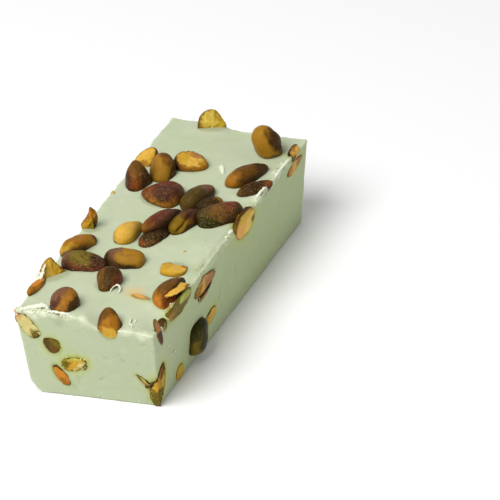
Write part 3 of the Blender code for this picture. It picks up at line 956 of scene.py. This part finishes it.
def kernel_planes(k, place, looks):
    """The flat cuts of a kernel in its own axes, as (point, direction, roughness, depth of its hollow)."""
    half = Vector(half_size(k))
    inverse = place.inverted()
    turned = inverse.to_3x3()
    planes = []
    for way, share in looks.slices:
        normal = turned @ heading(way)
        planes.append((flat_cut(half, normal, share), normal, BREAK_ROUGH * looks.rough, 0.0))
    for direction, share in BREAKS[k.form]:
        normal = Vector(direction).normalized()
        hollow = HOLLOW if k.form == "opened" else 0.0
        planes.append((flat_cut(half, normal, share), normal, BREAK_ROUGH * looks.rough, hollow))
    middle = place.translation
    for face in k.trims:
        side = face_frame(face, middle.dot(SIDES[face]), middle.z) @ Matrix.Translation((0, 0, PROUD))
        normal = (turned @ side.to_3x3() @ Vector((0, 0, 1))).normalized()
        planes.append((inverse @ side.translation, normal, TRIM_ROUGH * looks.rough, 0.0))
    return planes


def facing(unit, half, turned, way):
    """How directly each point of a kernel faces this way: 1 at the spot that does most, -1 opposite it."""
    spot = np.array(turned @ heading(way)) * half
    spot /= np.linalg.norm(spot)
    return unit @ spot / np.maximum(np.linalg.norm(unit, axis=1), 1e-6)


def angular_egg(half, looks, seed):
    """A ridged egg's points on a ball of radius 1, those at full size, and how far each is from its ends."""
    t = -np.cos(np.linspace(0, math.pi, RINGS + 1))[:, None]
    turn = np.linspace(0, 2 * math.pi, SEGMENTS, endpoint=False)[None, :]
    girth = np.maximum(1 - np.abs(t) ** looks.blunt, 0) ** (1 / looks.blunt) * (1 - looks.taper * t)
    unit = np.stack((t + 0 * turn, girth * np.cos(turn), girth * np.sin(turn)), axis=-1).reshape(-1, 3)
    around = (turn + 0 * t).ravel()
    ends = np.sqrt(np.maximum(1 - unit[:, 0] ** 2, 0))
    ridges = LEAST_RIDGES + round(seed * 7) % 3
    phase = seed * 2.4 + 0.5 * unit[:, 0]
    crest = 1 - np.abs(np.sin(ridges * (around + phase) / 2))
    points = unit * half
    points[:, 1:] *= (1 - looks.facets * FACETS * (0.5 - crest) * ends)[:, None]
    return unit, points, ends


def kernel_skin(k, looks, turned, seed):
    """The kernel's skin in its own axes, creased, dented and grooved, and how deep its creases are."""
    half = half_size(k)
    unit, points, ends = angular_egg(half, looks, seed)
    creases = smooth(0.22, 0.0, np.abs(noise_at(points, CREASE_SIZE, seed + 0.37))) * ends
    creases *= min(looks.wrinkle, MOST_RUGGED)
    push = uneven(points, BULGES, seed) * ends - CREASE_DEPTH * creases
    push += looks.wrinkle * uneven(points, WRINKLES, seed + 0.71)
    for way, share, depth in looks.dents:
        soft = 0.2 * (1 - share) + 0.05
        push -= depth * smooth(share - soft, share + soft, facing(unit, half, turned, way))
    for way, across, share, depth in looks.grooves:
        wavy = uneven(points, GROOVE_WANDER, seed + 5.5)
        off = np.abs(points @ np.array(turned @ heading(across)) + wavy) / GROOVE
        here = np.exp(-off * off) * smooth(share - 0.1, share + 0.3, facing(unit, half, turned, way))
        push -= depth * here
        creases = np.maximum(creases, 1.3 * here)
    radial = unit * (0.4, 1, 1)
    radial /= np.maximum(np.linalg.norm(radial, axis=1), 1e-6)[:, None]
    return points + radial * push[:, None], creases


def clip_to(points, planes, half, seed):
    """Draws points towards the kernel's middle until they lie inside its flat cuts.

    Returns them with how much each belongs to a cut, and to a hollow.
    """
    heart = Vector()
    for place, normal, *_ in planes:
        beyond = (heart - place).dot(normal) + 0.2 * half[2]
        if beyond > 0:
            heart -= normal * beyond
    heart = np.array(heart)
    share = np.ones(len(points))
    hollow = np.zeros(len(points))
    for place, normal, rough, depth in planes:
        over = (points - heart) @ np.array(normal)
        room = (np.array(place) - heart) @ np.array(normal)
        flat = np.where(over > room, room / np.maximum(over, 1e-6), 1.0)
        landed = heart + (points - heart) * flat[:, None]
        raised = uneven(landed, (rough, BREAK_SIZE), seed + 3.1, 3)
        if depth:
            hollow = smooth(0.10, 0.32, 1 - flat + 0.06 * noise_at(landed, 1.4, seed + 6))
            raised -= depth * hollow
        share = np.minimum(share, np.where(flat < 1, np.minimum(flat * (1 + raised / room), 1.0), 1.0))
    return heart + (points - heart) * share[:, None], smooth(0.0, 0.05, 1 - share), hollow


def painted(local, half, turned, ground, patches, seed):
    """The colour of each point: the ground colour with soft-edged patches over it."""
    colour = np.tile(COLOURS[ground], (len(local), 1))
    for number, (name, way, share) in enumerate(patches):
        loose = min(1.0, 4 * (1 - share))
        wander = loose * uneven(local, PATCH_WANDER, seed + number, 3)
        edge = facing(local / half, half, turned, way) + wander
        weight = smooth(share - PATCH_EDGE * loose, share + PATCH_EDGE * loose, edge)[:, None]
        colour = colour * (1 - weight) + np.array(COLOURS[name]) * weight
    return with_column(colour, 1.0)


def height_out(k, world):
    """How far each point stands out of the face that the kernel lies in."""
    if k.face == "top":
        return world[:, 2] - HEIGHT - swell(world[:, 0], world[:, 1])
    plane = face_frame(k.face, k.u, k.v)
    return (world - np.array(plane.translation)) @ np.array(plane.to_3x3().col[2])


def kernel_piece(k, place, number, material, frames):
    """Makes one fine kernel, painted, and dark where the fudge or its neighbours keep the light out."""
    looks = LOOKS[k.name]
    half = half_size(k)
    seed = number * KERNEL_SEED
    turned = place.inverted().to_3x3()
    skin, creases = kernel_skin(k, looks, turned, seed)
    local, is_cut, hollow = clip_to(skin, kernel_planes(k, place, looks), half, seed)
    world = moved(local, place)
    out = height_out(k, world)
    sunk_shade = smooth(TRIMMED_REACH, 0.0, out) * (1 - is_cut) if k.trims else smooth(SUNK_REACH, 0.0, out)
    others = [(other, where) for other, where in frames if other is not k]
    values = {
        "cut": is_cut,
        "crease_shade": np.maximum(creases, hollow * 1.6),
        "sunk_shade": sunk_shade,
        "skin": painted(local, half, turned, looks.skin, looks.patches, seed),
        "flesh": painted(local, half, turned, looks.flesh, looks.stains, seed + FLESH_SEED),
        "grain": local + seed * GRAIN_SHIFT,
        "rugged": np.full(len(local), min(looks.wrinkle, MOST_RUGGED)),
        "crowded_shade": beside(near_kernels(world, others)[0], CROWDING) * (1 - is_cut),
    }
    world += TO_CENTRE
    world[:, 2] = np.maximum(world[:, 2], LOWEST_KERNEL)
    ends = (world[:SEGMENTS].mean(axis=0), world[-SEGMENTS:].mean(axis=0))
    world = np.vstack((world[SEGMENTS:-SEGMENTS], *ends))
    for key, value in values.items():
        values[key] = np.concatenate((value[SEGMENTS:-SEGMENTS], value[:1], value[-1:]))
    mesh = closed_mesh("kernel_" + k.name, world, egg_faces(RINGS - 1, SEGMENTS), values)
    node = "nut_" + k.name
    add_piece("kernel_" + k.name, mesh, material, (node,))


def egg_faces(rings, segments):
    """Faces over rings of points that are followed by one point for each end."""
    last_ring = (rings - 1) * segments
    first_end = last_ring + segments
    faces = tube_faces(rings, segments)
    for j in range(segments):
        n = (j + 1) % segments
        faces.append((first_end, n, j))
        faces.append((first_end + 1, last_ring + j, last_ring + n))
    return faces


# ---------------------------------------------------------------- crumbs, curls and chips

# Crumbs of fudge along the cut edges: (from, to, how many, how far they stray, largest size).
CRUMB_ROWS = (
    ((-25.0, -62.3, 32.4), (-14.0, -61.6, 33.6), 70, 0.8, 0.7),
    ((-14.0, -61.6, 33.8), (-5.0, -62.4, 34.0), 50, 0.6, 0.6),
    ((-5.0, -62.4, 34.0), (4.0, -62.6, 33.6), 14, 0.5, 0.4),
    ((12.0, -62.5, 31.8), (25.0, -61.8, 30.8), 10, 0.5, 0.4),
    ((24.9, 14.0, 32.0), (25.5, 60.0, 31.6), 90, 0.7, 0.6),
    ((23.6, -28.0, 31.8), (23.8, 0.0, 31.0), 30, 1.1, 0.4),
    ((24.0, -3.0, 31.8), (24.2, 3.0, 31.4), 36, 0.8, 0.7),
    ((23.6, -24.0, 32.0), (24.0, -18.0, 31.6), 26, 0.8, 0.6),
    ((24.8, -60.0, 30.6), (24.8, -46.0, 31.6), 12, 0.5, 0.4),
    ((-25.0, -58.0, 32.0), (-25.0, 58.0, 32.0), 60, 0.4, 0.5),
    ((-24.0, 62.4, 31.8), (25.5, 62.4, 31.0), 36, 0.4, 0.5),
    ((23.2, -57.5, 4.0), (24.9, -61.8, 29.0), 14, 0.4, 0.4),
    ((-20.0, -59.6, 0.3), (21.0, -57.6, 0.3), 110, 0.6, 0.6),
    ((21.8, -54.0, 0.4), (22.6, 56.0, 0.4), 50, 0.5, 0.5),
    ((-21.0, 58.6, 0.3), (21.0, 58.6, 0.3), 30, 0.4, 0.5),
    ((-19.5, -56.0, 0.3), (-19.5, 56.0, 0.3), 40, 0.4, 0.5),
)

# Loose crumbs of kernel: (place, how many, how far they stray, size, colour).
NUT_CRUMBS = (
    ((14.9, -14.7, 33.0), 3, 0.3, 0.5, "gold"),
    ((18.9, -6.6, 33.0), 2, 0.2, 0.5, "orange"),
    ((22.6, -17.5, 32.8), 5, 1.0, 0.3, "blush"),
    ((22.4, -23.0, 32.8), 5, 1.0, 0.3, "blush"),
    ((24.7, -26.0, 23.6), 10, 0.8, 0.6, "umber"),
    ((24.8, -18.5, 24.4), 10, 0.9, 0.6, "char"),
    ((24.7, -22.5, 23.2), 8, 0.9, 0.5, "tan"),
    ((24.9, 14.0, 25.4), 12, 1.0, 0.4, "oil"),
    ((24.9, 15.6, 28.0), 10, 0.8, 0.5, "oil"),
    ((-4.5, -61.2, 14.6), 16, 1.6, 0.6, "cream"),
    ((-8.5, -61.2, 15.4), 12, 1.2, 0.6, "oil"),
    ((-3.0, -61.2, 13.0), 8, 1.0, 0.5, "moss"),
    ((-7.0, -61.2, 13.0), 7, 1.4, 0.5, "mustard"),
    ((-18.0, -62.2, 24.6), 14, 1.0, 0.7, "olive"),
    ((-17.4, -62.2, 25.2), 8, 0.8, 0.6, "cream"),
    ((-24.2, -62.4, 31.2), 8, 0.8, 0.6, "blush"),
    ((22.6, -58.6, 4.0), 14, 1.3, 0.8, "mustard"),
    ((22.6, -59.4, 7.0), 12, 1.3, 0.8, "olive"),
    ((22.0, -60.0, 9.0), 8, 1.0, 0.6, "bark"),
    ((24.9, 40.0, 31.8), 5, 1.2, 0.4, "bark"),
    ((24.6, 27.6, 32.6), 4, 0.5, 0.4, "bark"),
    ((24.8, 53.0, 32.4), 8, 1.0, 0.5, "bark"),
    ((-25.2, 13.0, 31.6), 5, 0.7, 0.8, "gold"),
    ((23.4, -44.4, 33.2), 5, 0.7, 0.5, "white"),
    ((24.4, -48.2, 31.2), 14, 0.8, 0.4, "ochre"),
    ((23.4, -46.0, 32.6), 8, 0.8, 0.4, "blush"),
)

# Chips and flakes: (place, size along, across and through, turn, tip, colour). They are turned and tipped as
# kernels are.
CHIPS = (
    ((23.6, -40.6, 35.8), (9.0, 4.2, 1.4), 66, 6, "tan"),
    ((24.8, -38.4, 35.0), (6.0, 1.8, 1.1), 70, 2, "ochre"),
    ((21.9, -43.8, 34.9), (2.4, 1.2, 0.8), 60, 10, "tan"),
    ((24.8, -21.6, 23.4), (8.6, 0.7, 1.0), 88, 6, "umber"),
    ((24.8, -23.6, 22.4), (6.4, 0.6, 1.1), 88, 8, "bark"),
    ((6.1, 35.6, 32.7), (6.2, 1.7, 1.0), 120, 0, "white"),
    ((24.2, 1.6, 31.8), (2.2, 1.2, 1.0), 60, 20, "white"),
    ((23.9, -1.6, 31.6), (1.4, 0.9, 0.8), 20, 30, "white"),
    ((23.4, -46.5, 15.0), (0.7, 3.2, 0.5), 0, 0, "white"),
    ((23.8, -50.0, 20.0), (0.6, 1.6, 0.5), 0, 20, "white"),
)

# Curls and ridges of fudge that the knife has drawn up: (width, thickness, points).
CURLS = (
    (0.75, 0.6, (
        (1.0, -44.6, 32.4), (1.4, -42.4, 33.6), (2.6, -41.0, 34.0), (3.8, -41.6, 33.2),
        (3.8, -43.4, 32.2),
    )),
    (0.6, 0.5, (
        (13.0, -54.0, 31.4), (14.2, -55.8, 32.2), (14.6, -57.8, 31.9), (16.0, -59.0, 32.1),
        (16.8, -61.0, 31.4),
    )),
    (0.5, 0.4, ((15.0, -54.8, 31.4), (15.8, -55.8, 31.8), (15.4, -56.8, 31.4))),
    (1.8, 1.4, (
        (-25.0, -61.8, 32.2), (-21.0, -60.9, 33.3), (-17.0, -59.8, 34.1), (-14.6, -59.4, 34.4),
        (-13.4, -60.6, 33.8),
    )),
    (1.3, 1.0, ((-24.4, -60.6, 32.3), (-20.4, -59.6, 33.0), (-16.8, -58.6, 33.9), (-15.2, -59.4, 33.6))),
    (1.2, 0.9, ((-13.0, -61.9, 34.0), (-10.0, -61.9, 34.6), (-7.0, -61.9, 34.5), (-4.4, -61.6, 34.4))),
    (2.6, 0.5, ((-25.2, -46.2, 32.2), (-24.8, -44.4, 33.2), (-24.2, -42.6, 35.2), (-23.2, -41.2, 37.6))),
    (1.2, 0.4, ((-25.4, -44.6, 32.0), (-25.0, -42.0, 33.6), (-24.0, -40.6, 35.8))),
    (1.2, 0.9, (
        (24.4, 20.6, 32.0), (24.8, 24.0, 33.0), (25.2, 27.6, 33.2), (25.3, 31.0, 32.8),
        (25.4, 34.0, 32.2),
    )),
    (1.0, 0.7, ((25.2, 35.0, 32.0), (25.4, 40.0, 32.6), (25.6, 46.0, 32.5), (25.6, 50.0, 32.0))),
)

CRUMB_SEED = 11
CRUMB_COLOURS = ("white", "fudge", "fudge")
SMALLEST_CRUMB = 0.2
NUT_CRUMB_RANGE = (0.6, 1.5)  # the smallest and largest crumb of kernel as shares of the size given
CRUMB_UNEVEN = (0.45, 0.8)
CHIP_UNEVEN = (0.28, 0.8)
CURL_UNEVEN = (0.22, 0.7)  # as a share of a curl's width
RESTING = 0.08  # the share of a crumb's size by which its middle stands above the fudge
LOWEST_CRUMB = 0.02  # the least height of any point of a crumb above the floor
CURL_SIDES = 9
CURL_STEPS = 7  # points for each stretch between two points of a curl
CURL_SEED = 3.3  # how far apart the seeds of two curls are, and CHIP_SEED those of two chips
CHIP_SEED = 2.7


class Heap:
    """Many small closed shapes, each with a colour, that become one piece."""

    def __init__(self):
        self.points = []
        self.faces = []
        self.colours = []
        self.count = 0

    def add(self, points, faces, colour):
        self.points.append(points)
        self.faces.extend(tuple(i + self.count for i in face) for face in faces)
        self.colours.append(np.tile((*COLOURS[colour], 1.0), (len(points), 1)))
        self.count += len(points)

    def make(self, name, material, slot):
        points = np.vstack(self.points) + TO_CENTRE
        points[:, 2] = np.maximum(points[:, 2], LOWEST_CRUMB)
        mesh = closed_mesh(name, points, self.faces, {"colour": np.vstack(self.colours)})
        add_piece(name, mesh, material)


def ball(subdivisions):
    """The points and faces of a ball of radius 1."""
    mesh = bmesh.new()
    bmesh.ops.create_icosphere(mesh, subdivisions=subdivisions, radius=1)
    points = np.array([v.co[:] for v in mesh.verts])
    faces = [tuple(v.index for v in f.verts) for f in mesh.faces]
    mesh.free()
    return points, faces


def lump(unit, place, size, turned, seed, kind):
    """A ball's points made into a crumb of this size, with this kind of unevenness."""
    shape = unit * (1 + uneven(unit, kind, seed, 3))[:, None] * np.array(size) / 2
    return shape @ np.array(turned).T + np.array(place)


def add_crumbs(heap, fudge, rng, start, end, count, stray, sizes, colours):
    """Scatters crumbs over the fudge between two places."""
    unit, faces = ball(2)
    start, end = np.array(start), np.array(end)
    for _ in range(count):
        near = start + (end - start) * rng.random() + rng.normal(0, stray, 3)
        place, normal, *_ = fudge.find_nearest(Vector(near))
        across = sizes[0] + (sizes[1] - sizes[0]) * rng.random() ** 2
        size = across * (0.6 + 0.8 * rng.random(3))
        turned = Matrix.Rotation(rng.random() * math.tau, 3, Vector(rng.normal(0, 1, 3)).normalized())
        points = lump(unit, place + normal * across * RESTING, size, turned, rng.random() * 90, CRUMB_UNEVEN)
        heap.add(points, faces, rng.choice(colours))


def smooth_line(points):
    """CURL_STEPS points for each stretch of a smooth line through the given points."""
    ends = np.vstack((2 * points[0] - points[1], points, 2 * points[-1] - points[-2]))
    line = []
    for a, b, c, d in zip(ends, ends[1:], ends[2:], ends[3:]):
        for t in np.linspace(0, 1, CURL_STEPS, endpoint=False):
            bend = (2 * a - 5 * b + 4 * c - d) * t**2
            line.append(0.5 * (2 * b + (c - a) * t + bend + (3 * b - a - 3 * c + d) * t**3))
    line.append(points[-1])
    return np.array(line)


def add_curl(heap, points, width, thick, seed):
    """A ragged strand of fudge along a smooth line through these points, thin at both ends."""
    line = smooth_line(np.array(points))
    steps = len(line)
    rings = []
    for i, place in enumerate(line):
        ahead = Vector(line[min(i + 1, steps - 1)] - line[max(i - 1, 0)]).normalized()
        across = ahead.cross(Vector((0, 0, 1))).normalized()
        over = across.cross(ahead)
        fat = max(math.sin(math.pi * i / (steps - 1)), 0.0) ** 0.5
        for j in range(CURL_SIDES):
            a = math.tau * j / CURL_SIDES
            out = np.array(across) * math.cos(a) * width + np.array(over) * math.sin(a) * thick
            rings.append(place + out * fat / 2)
    rings = np.array(rings)
    rings += width * np.stack([uneven(rings, CURL_UNEVEN, seed + axis, 3) for axis in range(3)], axis=1)
    faces = tube_faces(steps, CURL_SIDES)
    faces.append(tuple(range(CURL_SIDES))[::-1])
    faces.append(tuple(range((steps - 1) * CURL_SIDES, steps * CURL_SIDES)))
    heap.add(rings, faces, "white")


def loose_pieces(fudge):
    """Makes the crumbs, curls and chips, one piece of each kind."""
    rng = np.random.default_rng(CRUMB_SEED)
    crumbs, curls, bits, chips = Heap(), Heap(), Heap(), Heap()
    for start, end, count, stray, largest in CRUMB_ROWS:
        add_crumbs(crumbs, fudge, rng, start, end, count, stray, (SMALLEST_CRUMB, largest), CRUMB_COLOURS)
    for place, count, stray, size, colour in NUT_CRUMBS:
        sizes = [size * share for share in NUT_CRUMB_RANGE]
        add_crumbs(bits, fudge, rng, place, place, count, stray, sizes, (colour,))
    for number, (width, thick, points) in enumerate(CURLS):
        add_curl(curls, points, width, thick, number * CURL_SEED)
    unit, faces = ball(4)
    for number, (place, size, turn, tip, colour) in enumerate(CHIPS):
        turned = Matrix.Rotation(math.radians(turn), 3, "Z") @ Matrix.Rotation(-math.radians(tip), 3, "Y")
        chips.add(lump(unit, place, size, turned, number * CHIP_SEED, CHIP_UNEVEN), faces, colour)
    white = crumb_material("fudge_crumb", soft=0.35)
    nut = crumb_material("nut_crumb", soft=0.05)
    crumbs.make("fudge_crumbs", white, "fudge")
    curls.make("fudge_curls", white, "fudge")
    bits.make("nut_crumbs", nut, "nut_gold")
    chips.make("nut_chips", nut, "nut_gold")


# ---------------------------------------------------------------- materials


class Nodes:
    """Makes and links the nodes of one material."""

    def __init__(self, name):
        self.material = bpy.data.materials.new(name)
        self.material.use_nodes = True
        self.tree = self.material.node_tree
        self.shader = self.tree.nodes["Principled BSDF"]

    def node(self, kind, values=None, **settings):
        made = self.tree.nodes.new(kind)
        for key, value in settings.items():
            setattr(made, key, value)
        for key, value in (values or {}).items():
            self.put(made.inputs[key], value)
        return made

    def put(self, socket, value):
        if isinstance(value, bpy.types.NodeSocket):
            self.tree.links.new(value, socket)
        else:
            socket.default_value = value

    def attribute(self, name, output="Fac"):
        return self.node("ShaderNodeAttribute", attribute_name=name).outputs[output]

    def place(self):
        return self.node("ShaderNodeTexCoord").outputs["Object"]

    def noise(self, vector, scale, detail=3.0, roughness=0.55):
        values = {"Vector": vector, "Scale": scale, "Detail": detail, "Roughness": roughness}
        return self.node("ShaderNodeTexNoise", values).outputs["Fac"]

    def stretched_noise(self, vector, scale, detail, roughness):
        """Noise with a scale of its own along each axis."""
        scaled = self.node("ShaderNodeVectorMath", {0: vector, 1: scale}, operation="MULTIPLY").outputs[0]
        return self.noise(scaled, 1.0, detail, roughness)

    def spread(self, value, low, high, out_low=0.0, out_high=1.0):
        values = {"Value": value, "From Min": low, "From Max": high, "To Min": out_low, "To Max": out_high}
        return self.node("ShaderNodeMapRange", values, interpolation_type="SMOOTHSTEP").outputs["Result"]

    def maths(self, operation, first, second, clamp=False):
        made = self.node("ShaderNodeMath", {0: first, 1: second}, operation=operation, use_clamp=clamp)
        return made.outputs[0]

    def times(self, first, second, clamp=False):
        return self.maths("MULTIPLY", first, second, clamp)

    def plus(self, first, second, clamp=False):
        return self.maths("ADD", first, second, clamp)

    def mix(self, factor, first, second):
        made = self.node("ShaderNodeMix", data_type="RGBA")
        for socket, value in zip((made.inputs[0], made.inputs[6], made.inputs[7]), (factor, first, second)):
            self.put(socket, (*value, 1.0) if isinstance(value, tuple) else value)
        return made.outputs[2]

    def flecked(self, colour, other, value, low, high, most):
        """The colour with another over it, from none where the value is low to most where it's high."""
        return self.mix(self.spread(value, low, high, 0.0, most), colour, other)

    def covered(self, colour, other, value, most):
        """The colour with another over it, as strongly as the value says times most."""
        return self.mix(self.times(value, most), colour, other)

    def bump(self, height, strength, distance):
        values = {"Height": height, "Strength": strength, "Distance": distance * MM}
        return self.node("ShaderNodeBump", values).outputs["Normal"]

    def set(self, **inputs):
        for key, value in inputs.items():
            self.put(self.shader.inputs[key.replace("_", " ")], value)


# Colours of the materials, in linear terms. Noise has its scale per metre of place, or per millimetre of a
# kernel's grain.
FUDGE_TOP = (0.474, 0.524, 0.362)
FUDGE_SIDE = (0.430, 0.480, 0.318)
FUDGE_SHADED = (0.400, 0.475, 0.250)
FUDGE_DEEP = (0.420, 0.500, 0.290)
FUDGE_CRUMB = (0.670, 0.700, 0.510)
# The pit colour is painted shade in the pits and nicks of the sides.
FUDGE_PIT_SHADE = (0.200, 0.235, 0.120)
# The contact colour is painted shade on the fudge right beside the kernels.
FUDGE_CONTACT_SHADE = (0.16, 0.15, 0.05)
SHADOW_BROWN = (0.018, 0.009, 0.003)
SKIN_LIGHT = (0.52, 0.30, 0.07)
SKIN_SPECK = (0.55, 0.36, 0.14)
SKIN_GLINT = (0.44, 0.30, 0.15)
FLESH_DARK = (0.16, 0.07, 0.012)
FLESH_LIGHT = (0.62, 0.50, 0.20)
FLOOR_DARK = (0.88, 0.88, 0.88)
FLOOR_LIGHT = (0.90, 0.90, 0.90)
SKIN_TINT = (1.0, 0.70, 0.36, 1.0)  # of the light that a kernel's skin reflects
FUDGE_SCATTER = (1.0, 0.9, 0.5)  # how far red, green and blue light go within fudge, and within a kernel
KERNEL_SCATTER = (1.0, 0.5, 0.2)


def fudge_material():
    n = Nodes("fudge")
    place = n.place()
    side = n.attribute("side")
    mottle = n.noise(place, 420, 4, 0.6)
    base = n.mix(side, FUDGE_TOP, FUDGE_SIDE)
    base = n.mix(n.attribute("shaded"), base, FUDGE_SHADED)
    base = n.flecked(base, FUDGE_DEEP, n.noise(place, 70, 3), 0.42, 0.68, 0.45)
    base = n.flecked(base, FUDGE_CRUMB, mottle, 0.50, 0.75, 0.15)
    soaked = n.times(n.attribute("soaked"), n.spread(n.noise(place, 500, 2), 0.3, 0.62, 0.6, 1.0))
    base = n.mix(n.times(soaked, 0.9, True), base, n.attribute("tint", "Color"))
    white = n.times(n.attribute("white"), n.spread(n.noise(place, 800, 3), 0.35, 0.6, 0.5, 1.0), True)
    base = n.mix(white, base, FUDGE_CRUMB)
    # Painted contact shade on the fudge right beside each kernel.
    base = n.covered(base, FUDGE_CONTACT_SHADE, n.attribute("contact_shade"), 0.35)
    # Pits and nicks in the sides: dented by the bump, and darkened with painted shade.
    nicks = n.stretched_noise(place, (420.0, 420.0, 190.0), 3, 0.6)
    pits = n.times(n.spread(nicks, 0.64, 0.70), side)
    pits = n.plus(n.times(pits, 0.5), n.attribute("nicked"), True)
    base = n.covered(base, FUDGE_PIT_SHADE, pits, 0.35)
    fine = n.noise(place, 2600, 3, 0.6)
    scratch = n.stretched_noise(place, (900.0, 180.0, 1500.0), 4, 0.65)
    crumbly = n.noise(place, 1300, 4, 0.7)
    height = n.plus(n.times(fine, 0.15), n.times(n.times(scratch, side), 0.55))
    height = n.plus(height, n.times(crumbly, white))
    height = n.maths("SUBTRACT", height, pits)
    n.set(
        Base_Color=base,
        Roughness=n.plus(n.spread(mottle, 0.3, 0.7, 0.42, 0.54), n.times(side, 0.12)),
        Normal=n.bump(height, 0.35, 0.4),
        Subsurface_Weight=0.25,
        Subsurface_Radius=FUDGE_SCATTER,
        Subsurface_Scale=1.6 * MM,
        Specular_IOR_Level=0.25,
    )
    return n.material


def kernel_material():
    n = Nodes("kernel")
    grain = n.attribute("grain", "Vector")
    rugged = n.attribute("rugged")
    streaks = n.stretched_noise(grain, (0.16, 0.7, 0.7), 4, 0.6)
    specks = n.noise(grain, 3.2, 3, 0.7)
    skin = n.attribute("skin", "Color")
    skin = n.flecked(skin, SHADOW_BROWN, streaks, 0.48, 0.78, 0.40)
    skin = n.flecked(skin, n.mix(0.35, skin, SKIN_LIGHT), streaks, 0.50, 0.28, 0.30)
    skin = n.flecked(skin, SHADOW_BROWN, specks, 0.60, 0.76, 0.5)
    skin = n.flecked(skin, SKIN_SPECK, specks, 0.34, 0.22, 0.25)
    glints = n.spread(n.noise(grain, 2.4, 2, 0.8), 0.56, 0.66, 0.0, 0.58)
    skin = n.covered(skin, SKIN_GLINT, glints, rugged)
    # Painted shade in the creases, the grooves and the broken hollow.
    skin = n.covered(skin, SHADOW_BROWN, n.attribute("crease_shade"), 0.55)
    # Painted shade low on a kernel's sides, where it sinks into the fudge.
    skin = n.covered(skin, SHADOW_BROWN, n.attribute("sunk_shade"), 0.75)
    # Painted shade where another kernel lies close.
    skin = n.covered(skin, SHADOW_BROWN, n.attribute("crowded_shade"), 0.92)
    flesh_grain = n.stretched_noise(grain, (0.35, 1.3, 1.3), 4, 0.65)
    flesh = n.attribute("flesh", "Color")
    flesh = n.flecked(flesh, n.mix(0.55, flesh, FLESH_DARK), flesh_grain, 0.42, 0.70, 0.26)
    flesh = n.flecked(flesh, FLESH_LIGHT, flesh_grain, 0.46, 0.28, 0.35)
    is_cut = n.attribute("cut")
    speckled = n.times(specks, n.spread(rugged, 0.0, 1.0, 0.35, 1.6))
    height = n.plus(n.times(streaks, 0.8), speckled)
    height = n.plus(height, n.times(n.times(flesh_grain, is_cut), 0.8))
    n.set(
        Base_Color=n.mix(is_cut, skin, flesh),
        Roughness=n.plus(n.spread(specks, 0.3, 0.7, 0.30, 0.46), n.times(is_cut, 0.15)),
        Normal=n.bump(height, 0.5, 0.3),
        Subsurface_Weight=0.04,
        Subsurface_Radius=KERNEL_SCATTER,
        Subsurface_Scale=1.0 * MM,
        Specular_IOR_Level=0.16,
        Specular_Tint=SKIN_TINT,
    )
    return n.material


def crumb_material(name, soft):
    n = Nodes(name)
    grain = n.noise(n.place(), 1800, 3, 0.6)
    colour = n.attribute("colour", "Color")
    n.set(
        Base_Color=n.flecked(colour, n.mix(0.5, colour, SHADOW_BROWN), grain, 0.48, 0.72, 0.35),
        Roughness=n.spread(grain, 0.3, 0.7, 0.45, 0.65),
        Normal=n.bump(grain, 0.4, 0.3),
        Subsurface_Weight=soft,
        Subsurface_Radius=FUDGE_SCATTER,
        Subsurface_Scale=1.0 * MM,
        Specular_IOR_Level=0.2,
    )
    return n.material


def floor_material():
    n = Nodes("floor")
    tone = n.mix(n.noise(n.place(), 3.0), FLOOR_DARK, FLOOR_LIGHT)
    n.set(Base_Color=tone, Roughness=0.75, Specular_IOR_Level=0.1)
    return n.material


# ---------------------------------------------------------------- floor, light and camera

FLOOR_REACH = 6000.0
WORLD_STRENGTH = 0.46

# The key light, a disk: its direction from the slab in degrees, how far off and how wide it is, its power.
KEY_AZIMUTH = -20
KEY_ELEVATION = 58
KEY_DISTANCE = 1200.0
KEY_ACROSS = 800.0
KEY_WATTS = 14.5

# The camera: the place it looks at, and its direction from there in degrees.
AIM = (21.0, 20.03, 12.5)
CAMERA_AZIMUTH = 27.0
CAMERA_ELEVATION = 32.9
CAMERA_ROLL = 6.03
CAMERA_DISTANCE = 1600.0
LENS = 340.4
FURTHEST_SEEN = 20000.0


def direction(azimuth, elevation):
    """The way from the slab to something at this azimuth, 0 on the near end's side and 90 on the right."""
    a, e = math.radians(azimuth), math.radians(elevation)
    return Vector((math.sin(a) * math.cos(e), -math.cos(a) * math.cos(e), math.sin(e)))


def make_floor():
    r = FLOOR_REACH * MM
    mesh = bpy.data.meshes.new("floor")
    mesh.from_pydata([(-r, -r, 0), (r, -r, 0), (r, r, 0), (-r, r, 0)], [], [(0, 1, 2, 3)])
    mesh.materials.append(floor_material())
    floor = in_scene("floor", mesh)


def make_light():
    data = bpy.data.lights.new("key", "AREA")
    data.shape = "DISK"
    data.size = KEY_ACROSS * MM
    data.energy = KEY_WATTS
    light = in_scene("key", data)
    back = direction(KEY_AZIMUTH, KEY_ELEVATION)
    light.location = back * KEY_DISTANCE * MM
    light.rotation_euler = back.to_track_quat("Z", "Y").to_euler()


def make_world():
    world = bpy.data.worlds.new("studio")
    bpy.context.scene.world = world
    world.use_nodes = True
    background = world.node_tree.nodes["Background"]
    background.inputs["Color"].default_value = (1.0, 1.0, 1.0, 1.0)
    background.inputs["Strength"].default_value = WORLD_STRENGTH


def make_camera():
    data = bpy.data.cameras.new("camera")
    data.lens = LENS
    data.clip_end = FURTHEST_SEEN * MM
    camera = in_scene("camera", data)
    back = direction(CAMERA_AZIMUTH, CAMERA_ELEVATION)
    level = (-back).to_track_quat("-Z", "Y").to_matrix().to_4x4()
    roll = Matrix.Rotation(math.radians(-CAMERA_ROLL), 4, "Z")
    camera.matrix_world = Matrix.Translation((Vector(AIM) + back * CAMERA_DISTANCE) * MM) @ level @ roll
    bpy.context.scene.camera = camera


def main():
    placed = [(k, kernel_frame(k)) for k in KERNELS]
    fudge = fudge_piece(placed)
    nut = kernel_material()
    for number, (k, place) in enumerate(placed, 1):
        kernel_piece(k, place, number, nut, placed)
    loose_pieces(fudge)
    make_floor()
    make_world()
    make_light()
    make_camera()
    bpy.context.scene.view_settings.view_transform = "Standard"


main()
